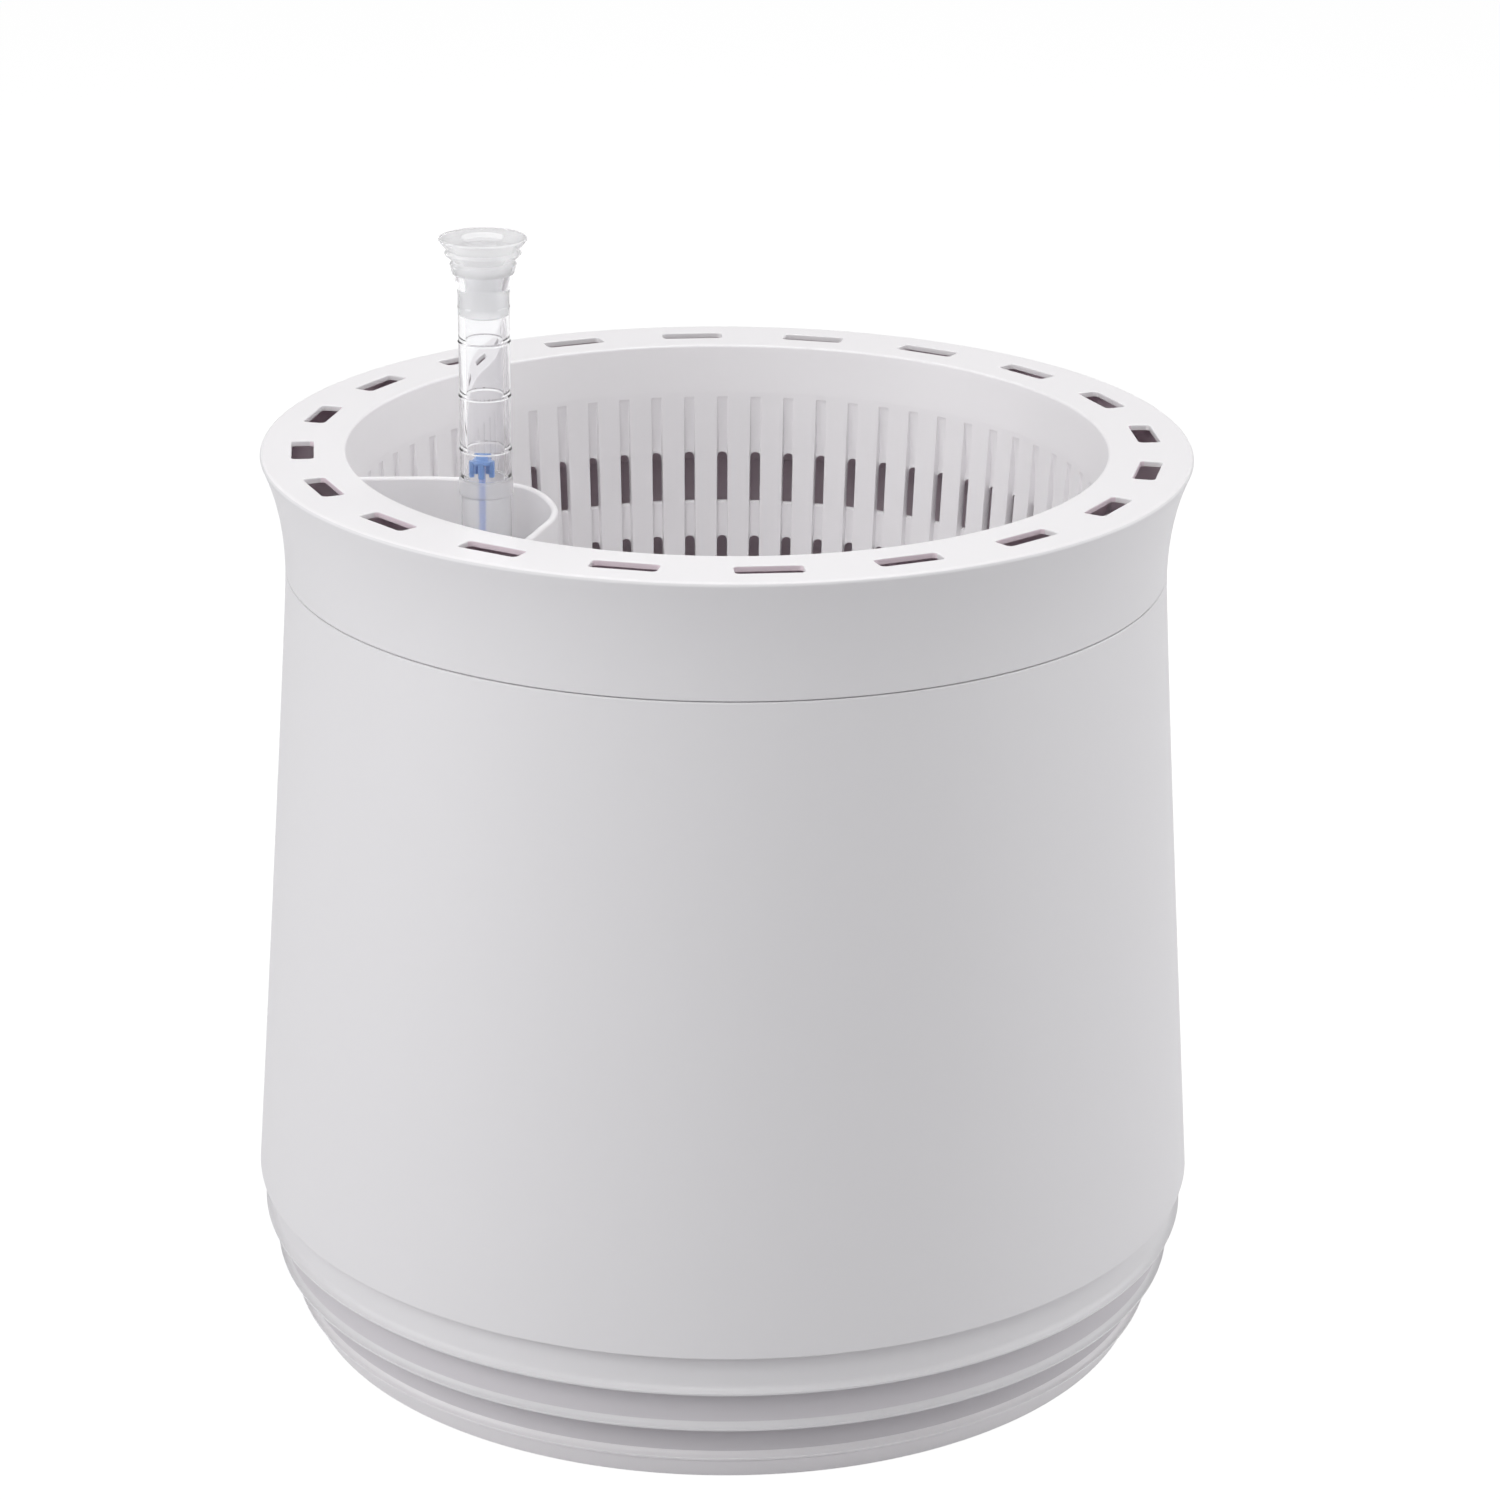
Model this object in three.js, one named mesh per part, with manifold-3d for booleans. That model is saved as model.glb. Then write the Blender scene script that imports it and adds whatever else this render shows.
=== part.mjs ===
// A passive air purifier: a tall plant pot whose ventilated basket hangs inside a tapered shell.
// Room air enters under three louvre rings at the foot, rises between shell and basket, passes
// through the basket's windows to the roots and leaves by the slots in the rim. A float gauge
// stands in a filling shaft at the front left. Millimetres, +Z up, front towards -Y, and the
// origin on the ground under the pot's axis.
import * as THREE from "three";
import { mergeGeometries, mergeVertices } from "three/addons/utils/BufferGeometryUtils.js";
import Module from "manifold-3d";

const wasm = await Module();
wasm.setup();

// ---- Driving dimensions ----

const clearance = 0.3; // between two pieces that seat on or in each other

// Pot outline
const potHeight = 267; // ground to the top face of the rim
const rimRadius = 133.3;
const rimFlare = 5.2; // how far the rim stands out past the seam
const seamDrop = 35; // rim top down to the seam between collar and shell
const shellFootRadius = 141;
const shellWall = 2.6;

// Rim collar
const collarWall = 2.6;
const flangeThickness = 1.6;
const rimWidth = 24.7; // from the rim's outer edge to the basket opening
const rimEdgeRound = 2.4;
const openingRound = 1.5;
const bandHeight = 14.5; // smooth band inside the opening, above the ribs
const bandWall = 2.4;
const tongueDepth = 6; // the collar's locating tongue inside the shell
const tongueWall = 1.5;
const slotCount = 20;
const slotLength = 18.5;
const slotWidth = 6.3;
const slotCorner = 1.2;
const slotInset = 11.4; // slot centre line in from the rim's outer edge
const slotTurn = 5.3; // degrees, azimuth of the first slot

// Plant basket
const windowCount = 65;
const windowTurn = 2.2; // degrees, azimuth of the first column of windows
const windowRows = 2; // the grooves below them are left blind
const windowWidth = 3.2;
const windowHeight = 15.8;
const windowDrop = 34.1; // rim top down to the top of the first row
const rowPitch = 26.9;
const basketDraft = 0.075; // inward lean of the rib faces for each millimetre down
const grooveDepth = 1.8;
const basketWall = 1.6;
const basketFoot = 62; // ground to the foot of the basket's wall
const floorThickness = 2.4;
const floorSlotCount = 12;
const floorSlotWidth = 4;

// Root well, the sump that reaches from the basket floor into the water
const wellRadius = 36;
const wellTaper = 5;
const wellWall = 2;
const wellRim = 4;
const wellSlotCount = 8;
const wellSlotWidth = 4;
const wellSlotHeight = 30;
const wellGap = 8; // well floor above the tank floor

// Filling shaft
const shaftWall = 2;
const shaftDrop = 10.4; // rim top down to the shaft's top edge
const shaftStart = 183.6; // degrees, where the shaft wall leaves the basket wall
const shaftEnd = 235.9; // degrees, where it comes back to it
// The shaft wall between its two ends, as [x, y] from the gauge's axis.
const shaftAroundGauge = [[-15, 39.9], [1, 36.1], [11.4, 29.1], [17.4, 15.7], [18.4, 2.7], [14.4, -12.3]];

// Louvre rings and foot
const footBand = 8.1; // ground to the lower ring's lip
const lowerPitch = 12.2; // lower lip to middle lip
const middlePitch = 12.9; // middle lip to upper lip
const upperPitch = 11.7; // upper lip to the shell's foot
const upperStep = 1.6; // upper lip in from the shell's foot
const middleStep = 3.4; // middle lip in from the upper lip
const lowerStep = 5.2; // lower lip in from the middle lip
const lipReach = 3.2; // a lip past its own wall
const lipFlare = 4; // height over which a wall bends out to its lip
const lipDepth = 0.8; // widest line of a lip above its underside
const ringWall = 1.8;
const ringLean = 1; // inward lean of a ring's wall from foot to top
const ringOverlap = 1.5; // a ring's top above the lip in front of it
const shelfWidth = 10.8;
const shelfThickness = 2;
const postCount = 6;
const postWidth = 5;
const postDepth = 3;
const panWall = 3.2;
const panFloor = 2.5;
const bandInset = 0.9; // foot band in from the lower lip
const footTaper = 3.5;
const padRise = 0.5; // foot pads below the pan's standing ring
const padRadius = 9;
const padInset = 20.1;
const standingRing = 4;
const panHollow = 1; // pan floor above the standing ring

// Water tank
const tankGap = 6; // air way between the tank and the lower ring
const tankHeight = 54;
const tankWall = 2;
const tankLip = 2.5;

// Level gauge
const gaugeInset = 27.5; // gauge axis in from the basket opening
const gaugeTurn = 214.3; // degrees, azimuth of the gauge
const gaugeRadius = 7.1;
const gaugeBore = 5.2;
const gaugeHeight = 61; // top of the clear tube above the rim
const gaugeFlare = 0.95; // how far the tube's mouth opens out
const levelHeights = [10.7, 26, 41.3]; // raised level lines above the rim
const levelRise = 0.3;
const socketTop = 2.4; // top of the stem's socket above the rim
const socketDepth = 6.3;
const socketRadius = 7.5;
const spigotRadius = 6.2;
const stemRadius = 6.95;
const stemBore = 5.7;
const stopperTiers = [9.2, 10.65, 12.25]; // rim radius of each tier, from the lowest
const tierPitch = 3.3;
const tierDepth = 2.4;
const tierEdge = 0.5;
const tierTaper = 0.85; // a tier's foot to its rim
const stopperSkirt = 13;
const stopperSkirtWall = 1.3;
const dimpleRadius = 5.4;
const dimpleDepth = 1.6;
const clipHeight = 8;
const clipWall = 2.2;
const clipDrop = 32; // rim top down to the clip's top
const clipRunning = 0.5;
const clipTurn = 8; // degrees, azimuth of the arm to the shaft wall
const clipMouth = 80; // degrees, the clip's open side

// Float indicator
const indicatorInset = 1.1; // the float rests against the left of its tube
const headBase = 2.8; // foot of the head above the rim with the tank empty
const headRadius = 3.65;
const fingerCount = 5;
const fingerHeight = 4.6;
const fingerWidth = 1.7;
const fingerDepth = 1.2;
const capThickness = 1.1;
const hubRadius = 1.9;
const hubRise = 1.4;
const rodRadius = 1;
const floatHeight = 34;
const intakeHeight = 10;
const intakeWidth = 4;

// ---- Derived places ----

const seamHeight = potHeight - seamDrop;
const seamRadius = rimRadius - rimFlare;
const openingRadius = rimRadius - rimWidth;
const flangeUnderside = potHeight - flangeThickness;
const bandFoot = potHeight - bandHeight;

const lowerLip = { radius: shellFootRadius - upperStep - middleStep - lowerStep, height: footBand };
const middleLip = { radius: lowerLip.radius + lowerStep, height: lowerLip.height + lowerPitch };
const upperLip = { radius: middleLip.radius + middleStep, height: middleLip.height + middlePitch };
const shellFoot = { radius: shellFootRadius, height: upperLip.height + upperPitch };

// Each louvre ring carries the one above it, and the top one carries the shell's ledge ring.
const lowerTop = middleLip.height + ringOverlap;
const middleTop = upperLip.height + ringOverlap;
const upperTop = shellFoot.height + ringOverlap;
const ledgeHeight = shellFoot.height + upperPitch;

const panTop = lowerLip.height - lipDepth - clearance;
const panRadius = lowerLip.radius - bandInset;
const panUnderside = padRise + panHollow;
const panFloorTop = panUnderside + panFloor;

const lowerBore = lowerLip.radius - lipReach - ringLean - shelfWidth;
const tankRadius = lowerBore - tankGap;
const tankBase = panFloorTop + clearance;
const tankFloor = tankBase + tankWall;

const floorTop = basketFoot - clearance;
const floorUnderside = floorTop - floorThickness;
const basketThickness = grooveDepth + basketWall;
const wellFloor = tankFloor + wellGap;

const gaugeDistance = openingRadius - gaugeInset;
const gaugeAxis = polar(gaugeDistance, gaugeTurn);
const gaugeFoot = tankFloor + clearance;
const stemFoot = gaugeFoot + 3;
const floatBase = stemFoot + 4;
const clipRadius = stemRadius + clipRunning;
const indicatorAxis = new THREE.Vector2(gaugeAxis.x - indicatorInset, gaugeAxis.y);
const floatRadius = stemBore - clearance - indicatorInset;
const capUnderside = potHeight + headBase + fingerHeight - capThickness;

function polar(radius, degrees) {
  const angle = THREE.MathUtils.degToRad(degrees);
  return new THREE.Vector2(radius * Math.cos(angle), radius * Math.sin(angle));
}

// Radius of the basket's rib faces, and of the smooth band above them, at a height.
function ribFace(height) {
  return openingRadius - basketDraft * (potHeight - openingRound - height);
}

// ---- Solids ----

// A closed three.js geometry as a solid for joining and cutting.
function solid(geometry) {
  const bare = geometry.index ? geometry.toNonIndexed() : geometry.clone();
  bare.deleteAttribute("normal");
  bare.deleteAttribute("uv");
  const merged = mergeVertices(bare, 1e-4);
  const corners = [];
  for (let i = 0; i < merged.index.count; i += 3) {
    const [a, b, c] = merged.index.array.subarray(i, i + 3);
    if (a !== b && b !== c && c !== a) corners.push(a, b, c);
  }
  return new wasm.Manifold(
    new wasm.Mesh({
      numProp: 3,
      vertProperties: merged.attributes.position.array,
      triVerts: new Uint32Array(corners),
    }),
  );
}

// Several closed geometries that don't touch each other, as one solid.
function solidOfMany(geometries) {
  return solid(mergeGeometries(geometries.map((g) => (g.index ? g.toNonIndexed() : g))));
}

function geometryOf(made) {
  const mesh = made.getMesh();
  const geometry = new THREE.BufferGeometry();
  geometry.setAttribute("position", new THREE.BufferAttribute(mesh.vertProperties, 3));
  geometry.setIndex(new THREE.BufferAttribute(mesh.triVerts, 1));
  const flat = geometry.toNonIndexed();
  flat.computeVertexNormals();
  return flat;
}

// Turns a profile of [radius, height] points about Z. The profile runs up the outside and down
// the inside, and closes on itself or on the axis. A flat facet is centred on facetTurn degrees.
function revolve(profile, segments, facetTurn = 0) {
  const points = profile.map(([radius, height]) => new THREE.Vector2(radius, height));
  const onAxis = profile[0][0] === 0 && profile.at(-1)[0] === 0;
  if (!onAxis) points.push(points[0].clone());
  const turn = facetTurn + 90 - 180 / segments;
  return new THREE.LatheGeometry(points, segments)
    .rotateX(Math.PI / 2)
    .rotateZ(THREE.MathUtils.degToRad(turn));
}

function arc(centreRadius, centreHeight, size, from, to, steps) {
  return Array.from({ length: steps + 1 }, (_, i) => {
    const angle = THREE.MathUtils.degToRad(from + ((to - from) * i) / steps);
    return [centreRadius + size * Math.cos(angle), centreHeight + size * Math.sin(angle)];
  });
}

// Points along a curve that leaves one end straight up and reaches the other past a bend.
function bend(from, control, to, steps) {
  const curve = new THREE.QuadraticBezierCurve(
    new THREE.Vector2(...from),
    new THREE.Vector2(...control),
    new THREE.Vector2(...to),
  );
  return curve.getPoints(steps).map((p) => [p.x, p.y]);
}

function extrude(shape, depth, curveSegments = 1) {
  return new THREE.ExtrudeGeometry(shape, { depth, bevelEnabled: false, curveSegments });
}

// A shape drawn across (x) and up (y), pushed outwards along the radius at an azimuth.
function pushOut(shape, degrees, fromRadius, depth) {
  const out = polar(1, degrees);
  const place = new THREE.Matrix4().makeBasis(
    new THREE.Vector3(-out.y, out.x, 0),
    new THREE.Vector3(0, 0, 1),
    new THREE.Vector3(out.x, out.y, 0),
  );
  place.setPosition(fromRadius * out.x, fromRadius * out.y, 0);
  return extrude(shape, depth).applyMatrix4(place);
}

// A shape drawn along the radius (x) and up (y), given a width across the radius at an azimuth.
function sweepAcross(shape, degrees, width) {
  const out = polar(1, degrees);
  const place = new THREE.Matrix4().makeBasis(
    new THREE.Vector3(out.x, out.y, 0),
    new THREE.Vector3(0, 0, 1),
    new THREE.Vector3(out.y, -out.x, 0),
  );
  return extrude(shape, width).translate(0, 0, -width / 2).applyMatrix4(place);
}

function outline(points) {
  return new THREE.Shape(points.map(([x, y]) => new THREE.Vector2(x, y)));
}

function roundedBar(length, width, corner) {
  const x = length / 2 - corner;
  const y = width / 2 - corner;
  return outline([
    ...arc(x, y, corner, 0, 90, 1),
    ...arc(-x, y, corner, 90, 180, 1),
    ...arc(-x, -y, corner, 180, 270, 1),
    ...arc(x, -y, corner, 270, 360, 1),
  ]);
}

// A window with a flat sill and a round head.
function archedWindow(width, height, sill) {
  const half = width / 2;
  const head = arc(0, sill + height - half, half, 0, 180, 2);
  return outline([[-half, sill], [half, sill], ...head]);
}

function around(count, firstTurn, make) {
  return Array.from({ length: count }, (_, i) => make(firstTurn + (360 * i) / count));
}

function disc(radius, fromHeight, toHeight, segments) {
  return revolve([[0, fromHeight], [radius, fromHeight], [radius, toHeight], [0, toHeight]], segments);
}

// ---- Shell, collar and foot ----

const ringSegments = 60;
const louvreSegments = 44;

function shellOutside(wall, steps) {
  const top = [seamRadius - wall, seamHeight];
  const shoulder = [seamRadius - wall, seamHeight - 10];
  const foot = [shellFoot.radius - wall, shellFoot.height + 1];
  return bend(foot, shoulder, top, steps);
}

function outerShell() {
  return solid(
    revolve(
      [
        [shellFoot.radius - 1, shellFoot.height],
        ...shellOutside(0, 4),
        ...shellOutside(shellWall, 2).reverse(),
        [shellFoot.radius - shellWall, shellFoot.height],
      ],
      ringSegments,
    ),
  );
}

// A ring pressed into the shell's foot. By it the shell sits on the top louvre ring's posts.
function shellLedge() {
  const [footInside, midInside] = shellOutside(shellWall, 2);
  const top = ledgeHeight + shelfThickness;
  const share = (top - footInside[1]) / (midInside[1] - footInside[1]);
  const outer = THREE.MathUtils.lerp(footInside[0], midInside[0], share) - clearance;
  const bore = upperLip.radius - lipReach - ringLean - shelfWidth / 2;
  return solid(
    revolve([[outer, ledgeHeight], [outer, top], [bore, top], [bore, ledgeHeight]], ringSegments),
  );
}

function collarProfile() {
  const foot = seamHeight + clearance;
  const edge = potHeight - rimEdgeRound;
  const flareStart = [seamRadius + 0.3, foot + 0.55 * (edge - foot)];
  const outside = bend([seamRadius, foot], flareStart, [rimRadius, edge], 4);
  const skirtInside = seamRadius - collarWall;
  const tongueOutside = seamRadius - shellWall - clearance;
  const tongueInside = tongueOutside - tongueWall;
  return [
    ...outside.slice(0, -1),
    ...arc(rimRadius - rimEdgeRound, edge, rimEdgeRound, 0, 90, 2),
    ...arc(openingRadius + openingRound, potHeight - openingRound, openingRound, 90, 180, 1),
    [ribFace(bandFoot), bandFoot],
    [ribFace(bandFoot) + bandWall, bandFoot],
    [ribFace(flangeUnderside) + bandWall, flangeUnderside],
    [rimRadius - rimEdgeRound - collarWall / 2, flangeUnderside],
    [skirtInside, foot + tongueWall + 3],
    [tongueInside, foot + 3],
    [tongueInside, seamHeight - tongueDepth],
    [tongueOutside, seamHeight - tongueDepth],
    [tongueOutside, foot],
  ];
}

function rimCollar() {
  const slot = roundedBar(slotWidth, slotLength, slotCorner);
  const slots = around(slotCount, slotTurn, (turn) => {
    const place = polar(rimRadius - slotInset, turn);
    return extrude(slot, flangeThickness + 2)
      .rotateZ(THREE.MathUtils.degToRad(turn))
      .translate(place.x, place.y, flangeUnderside - 1);
  });
  return solid(revolve(collarProfile(), ringSegments, slotTurn)).subtract(solidOfMany(slots));
}

// One louvre ring: a lip over the air way below it, a leaning wall, a shelf turned inwards at its
// top and, on the shelf, the posts that carry the underside of the piece above.
function louvreRing(lip, topHeight, carried) {
  const wall = lip.radius - lipReach;
  const wallTop = wall - ringLean;
  const underside = lip.height - lipDepth;
  const bore = wallTop - shelfWidth;
  const turnOut = [wall + lipReach / 9, lip.height + 0.3 * lipFlare];
  const flare = bend([lip.radius, lip.height], turnOut, [wall, lip.height + lipFlare], 2);
  const ring = solid(
    revolve(
      [
        [wall - ringWall, underside],
        [lip.radius - lipDepth, underside],
        ...flare,
        [wallTop, topHeight],
        [bore, topHeight],
        [bore, topHeight - shelfThickness],
        [wallTop - ringWall, topHeight - shelfThickness],
      ],
      louvreSegments,
    ),
  );
  const postFoot = topHeight - shelfThickness / 2;
  const postTop = carried - clearance;
  const post = outline([
    [wallTop - postDepth - 0.5, postFoot],
    [wallTop - 0.5, postFoot],
    [wallTop - 0.5, postTop],
    [wallTop - postDepth - 0.5, postTop],
  ]);
  return ring.add(solidOfMany(around(postCount, 0, (turn) => sweepAcross(post, turn, postWidth))));
}

function basePan() {
  const ringInside = panRadius - footTaper - standingRing;
  return solid(
    revolve(
      [
        [0, panUnderside],
        [ringInside - 1, panUnderside],
        [ringInside, padRise],
        [panRadius - footTaper, padRise],
        [panRadius, panTop],
        [panRadius - panWall, panTop],
        [panRadius - panWall, panFloorTop],
        [0, panFloorTop],
      ],
      louvreSegments,
    ),
  );
}

function waterTank() {
  const top = tankBase + tankHeight;
  const bottomRadius = tankRadius - 3;
  return solid(
    revolve(
      [
        [0, tankBase],
        [bottomRadius - 3, tankBase],
        [bottomRadius, tankBase + 3],
        [tankRadius - tankLip, top - tankWall],
        [tankRadius, top - tankWall],
        [tankRadius, top],
        [tankRadius - tankLip - tankWall, top],
        [bottomRadius - tankWall, tankFloor + 2],
        [bottomRadius - tankWall - 2, tankFloor],
        [0, tankFloor],
      ],
      32,
    ),
  );
}

const padTurns = [45, 135, 225, 315];

// A pad is stuck under the pan's floor and reaches the ground.
function footPad(turn) {
  const place = polar(panRadius - padInset, turn);
  return solid(disc(padRadius, 0, panUnderside - clearance, 12).translate(place.x, place.y, 0));
}

// ---- Basket and what it carries ----

// The wall is a ring of flat facets, one for each column of windows, welded under the collar's band.
function basketWallRing() {
  const flat = 1 / Math.cos(Math.PI / windowCount);
  const top = bandFoot - clearance;
  const profile = [
    [ribFace(basketFoot), basketFoot],
    [ribFace(basketFoot) + basketThickness, basketFoot],
    [ribFace(top) + basketThickness, top],
    [ribFace(top), top],
  ];
  return solid(revolve(profile.map(([r, z]) => [r * flat, z]), windowCount, windowTurn));
}

// A groove starts level with the smooth band and reaches its full depth at the first windows.
function grooveCutters() {
  const start = bandFoot - 1.5;
  const deep = potHeight - windowDrop + windowWidth;
  const foot = basketFoot + 4;
  const groove = outline([
    [ribFace(foot) - 3, foot],
    [ribFace(foot) + grooveDepth, foot],
    [ribFace(deep) + grooveDepth, deep],
    [ribFace(start), start],
    [ribFace(start) - 3, start],
  ]);
  return around(windowCount, windowTurn, (turn) => sweepAcross(groove, turn, windowWidth));
}

function windowCutters() {
  const inside = ribFace(basketFoot) - 2;
  const depth = openingRadius + basketThickness + 4 - inside;
  const rows = Array.from({ length: windowRows }, (_, row) => {
    const sill = potHeight - windowDrop - windowHeight - row * rowPitch;
    return archedWindow(windowWidth - 0.2, windowHeight, sill);
  });
  return rows.flatMap((window) =>
    around(windowCount, windowTurn, (turn) => pushOut(window, turn, inside, depth)),
  );
}

function plantBasket() {
  return basketWallRing()
    .subtract(solidOfMany(grooveCutters()))
    .subtract(solidOfMany(windowCutters()));
}

const gaugeHole = stemRadius + 3;

function basketFloor() {
  const slotFrom = wellRadius + wellRim + 4;
  const slotTo = gaugeDistance - gaugeHole - 4;
  const slot = roundedBar(slotTo - slotFrom, floorSlotWidth, floorSlotWidth / 3);
  const slots = around(floorSlotCount, 0, (turn) => {
    const place = polar((slotFrom + slotTo) / 2, turn);
    return extrude(slot, floorThickness + 2)
      .rotateZ(THREE.MathUtils.degToRad(turn))
      .translate(place.x, place.y, floorUnderside - 1);
  });
  const hole = disc(gaugeHole, floorUnderside - 1, floorTop + 1, 16);
  const wellHole = disc(wellRadius + clearance, floorUnderside - 1, floorTop + 1, 16);
  return solid(disc(ribFace(basketFoot) + basketThickness, floorUnderside, floorTop, louvreSegments))
    .subtract(solidOfMany(slots))
    .subtract(solid(wellHole))
    .subtract(solid(hole.translate(gaugeAxis.x, gaugeAxis.y, 0)));
}

function rootWell() {
  const seat = floorTop + clearance;
  const foot = wellRadius - wellTaper;
  const cup = revolve(
    [
      [0, wellFloor],
      [foot, wellFloor],
      [wellRadius, seat],
      [wellRadius + wellRim, seat],
      [wellRadius + wellRim, seat + wellWall],
      [wellRadius - wellWall, seat + wellWall],
      [foot - wellWall, wellFloor + wellWall],
      [0, wellFloor + wellWall],
    ],
    16,
  );
  const sill = wellFloor + wellWall + 3;
  const slit = archedWindow(wellSlotWidth, wellSlotHeight, sill);
  const slits = around(wellSlotCount, 0, (turn) =>
    pushOut(slit, turn, foot - wellWall - 3, wellTaper + wellWall + 6),
  );
  return solid(cup).subtract(solidOfMany(slits));
}

// Plan of the filling shaft: from the basket wall, round behind the gauge and back to the wall.
function shaftPlan() {
  const beyond = openingRadius + 6;
  const middle = shaftAroundGauge.map(([x, y]) => new THREE.Vector2(x, y).add(gaugeAxis));
  return new THREE.SplineCurve([polar(beyond, shaftStart), ...middle, polar(beyond, shaftEnd)]);
}

function fillShaft() {
  const plan = shaftPlan();
  const steps = 24;
  const side = (offset) =>
    Array.from({ length: steps + 1 }, (_, i) => {
      const along = plan.getTangent(i / steps);
      const at = plan.getPoint(i / steps);
      return new THREE.Vector2(at.x - along.y * offset, at.y + along.x * offset);
    });
  const strip = new THREE.Shape([...side(-shaftWall / 2), ...side(shaftWall / 2).reverse()]);
  const foot = floorTop + clearance;
  const top = potHeight - shaftDrop;
  const wall = solid(extrude(strip, top - foot).translate(0, 0, foot));
  const room = revolve(
    [
      [0, foot - 1],
      [ribFace(foot - 1) - clearance, foot - 1],
      [ribFace(top + 1) - clearance, top + 1],
      [0, top + 1],
    ],
    windowCount,
    windowTurn,
  );
  return wall.intersect(solid(room));
}

// How far the shaft wall's near face is from the gauge's axis, over a strip that points at it.
function shaftDistance(degrees, halfWidth) {
  const centre = new THREE.Vector2();
  const inStrip = shaftPlan()
    .getPoints(400)
    .map((p) => p.sub(gaugeAxis).rotateAround(centre, -THREE.MathUtils.degToRad(degrees)))
    .filter((p) => p.x > 0 && Math.abs(p.y) < halfWidth);
  return Math.min(...inStrip.map((p) => p.x)) - shaftWall / 2;
}

// A spring clip on the shaft wall that steadies the gauge and lets it slide up and out.
function gaugeClip() {
  const reach = shaftDistance(clipTurn, clipWall + 1) - clearance;
  const outer = clipRadius + clipWall;
  const mouth = THREE.MathUtils.degToRad(clipMouth / 2);
  const root = Math.asin(clipWall / outer);
  const shape = new THREE.Shape();
  shape.moveTo(reach, -clipWall);
  shape.lineTo(reach, clipWall);
  shape.absarc(0, 0, outer, root, Math.PI - mouth, false);
  shape.absarc(0, 0, clipRadius, Math.PI - mouth, mouth - Math.PI, true);
  shape.absarc(0, 0, outer, mouth - Math.PI, -root, false);
  return solid(
    extrude(shape, clipHeight, 5)
      .rotateZ(THREE.MathUtils.degToRad(clipTurn))
      .translate(gaugeAxis.x, gaugeAxis.y, potHeight - clipDrop - clipHeight),
  );
}

// ---- Level gauge ----

const gaugeSegments = 14;

// Turned pieces stand on the gauge's own axis, and the indicator's a little off it.
function turned(profile, segments = gaugeSegments, axis = gaugeAxis) {
  return solid(revolve(profile, segments).translate(axis.x, axis.y, 0));
}

function gaugeTube() {
  const shoulder = potHeight + socketTop + clearance;
  const mouth = potHeight + gaugeHeight;
  const levels = levelHeights.flatMap((height) => [
    [gaugeRadius, potHeight + height - 0.6],
    [gaugeRadius + levelRise, potHeight + height],
    [gaugeRadius, potHeight + height + 0.6],
  ]);
  return turned([
    [spigotRadius, shoulder - socketDepth],
    [spigotRadius, shoulder],
    [gaugeRadius, shoulder],
    ...levels,
    [gaugeRadius, mouth - 6.5],
    [gaugeRadius + gaugeFlare / 2, mouth - 4],
    [gaugeRadius + gaugeFlare, mouth],
    [gaugeBore + gaugeFlare / 2, mouth],
    [gaugeBore, mouth - 6.5],
    [gaugeBore, shoulder - socketDepth],
  ]);
}

// A hollow skirt in the tube's mouth under three flared tiers and a dimpled top.
function gaugeStopper() {
  const seat = potHeight + gaugeHeight + clearance;
  const top = seat + tierDepth + tierPitch * (stopperTiers.length - 1);
  const underDimple = top - dimpleDepth - 2;
  const skirt = gaugeBore - clearance;
  const tiers = stopperTiers.flatMap((radius, i) => {
    const foot = seat + tierPitch * i;
    return [
      [radius * tierTaper, foot],
      [radius, foot + tierDepth - tierEdge],
      [radius, foot + tierDepth],
    ];
  });
  return turned([
    [skirt, seat - stopperSkirt],
    [skirt, seat],
    ...tiers,
    [dimpleRadius, top],
    [dimpleRadius - 1.2, top - dimpleDepth],
    [0, top - dimpleDepth],
    [0, underDimple],
    [skirt - stopperSkirtWall, underDimple - stopperSkirtWall],
    [skirt - stopperSkirtWall, seat - stopperSkirt],
  ]);
}

function gaugeStem() {
  const top = potHeight + socketTop;
  const socketFoot = top - socketDepth;
  const tube = turned([
    [stemRadius, stemFoot],
    [stemRadius, socketFoot],
    [socketRadius, socketFoot],
    [socketRadius, top],
    [spigotRadius + clearance, top],
    [spigotRadius + clearance, socketFoot],
    [stemBore, socketFoot],
    [stemBore, stemFoot],
  ]);
  const intake = archedWindow(intakeWidth, intakeHeight, floatBase);
  const [cut, crossCut] = [45, 135].map((turn) =>
    solid(pushOut(intake, turn, -stemRadius - 2, 2 * stemRadius + 4)),
  );
  return tube.subtract(cut.add(crossCut).translate([gaugeAxis.x, gaugeAxis.y, 0]));
}

// The stem's foot closes the tube under the float and stands on the tank floor.
function gaugeFootPlug() {
  const spigot = stemBore - clearance;
  return turned([
    [stemRadius, gaugeFoot],
    [stemRadius, stemFoot - clearance],
    [spigot, stemFoot - clearance],
    [spigot, floatBase - 2],
    [2, floatBase - 2],
    [2, gaugeFoot],
  ]);
}

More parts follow.
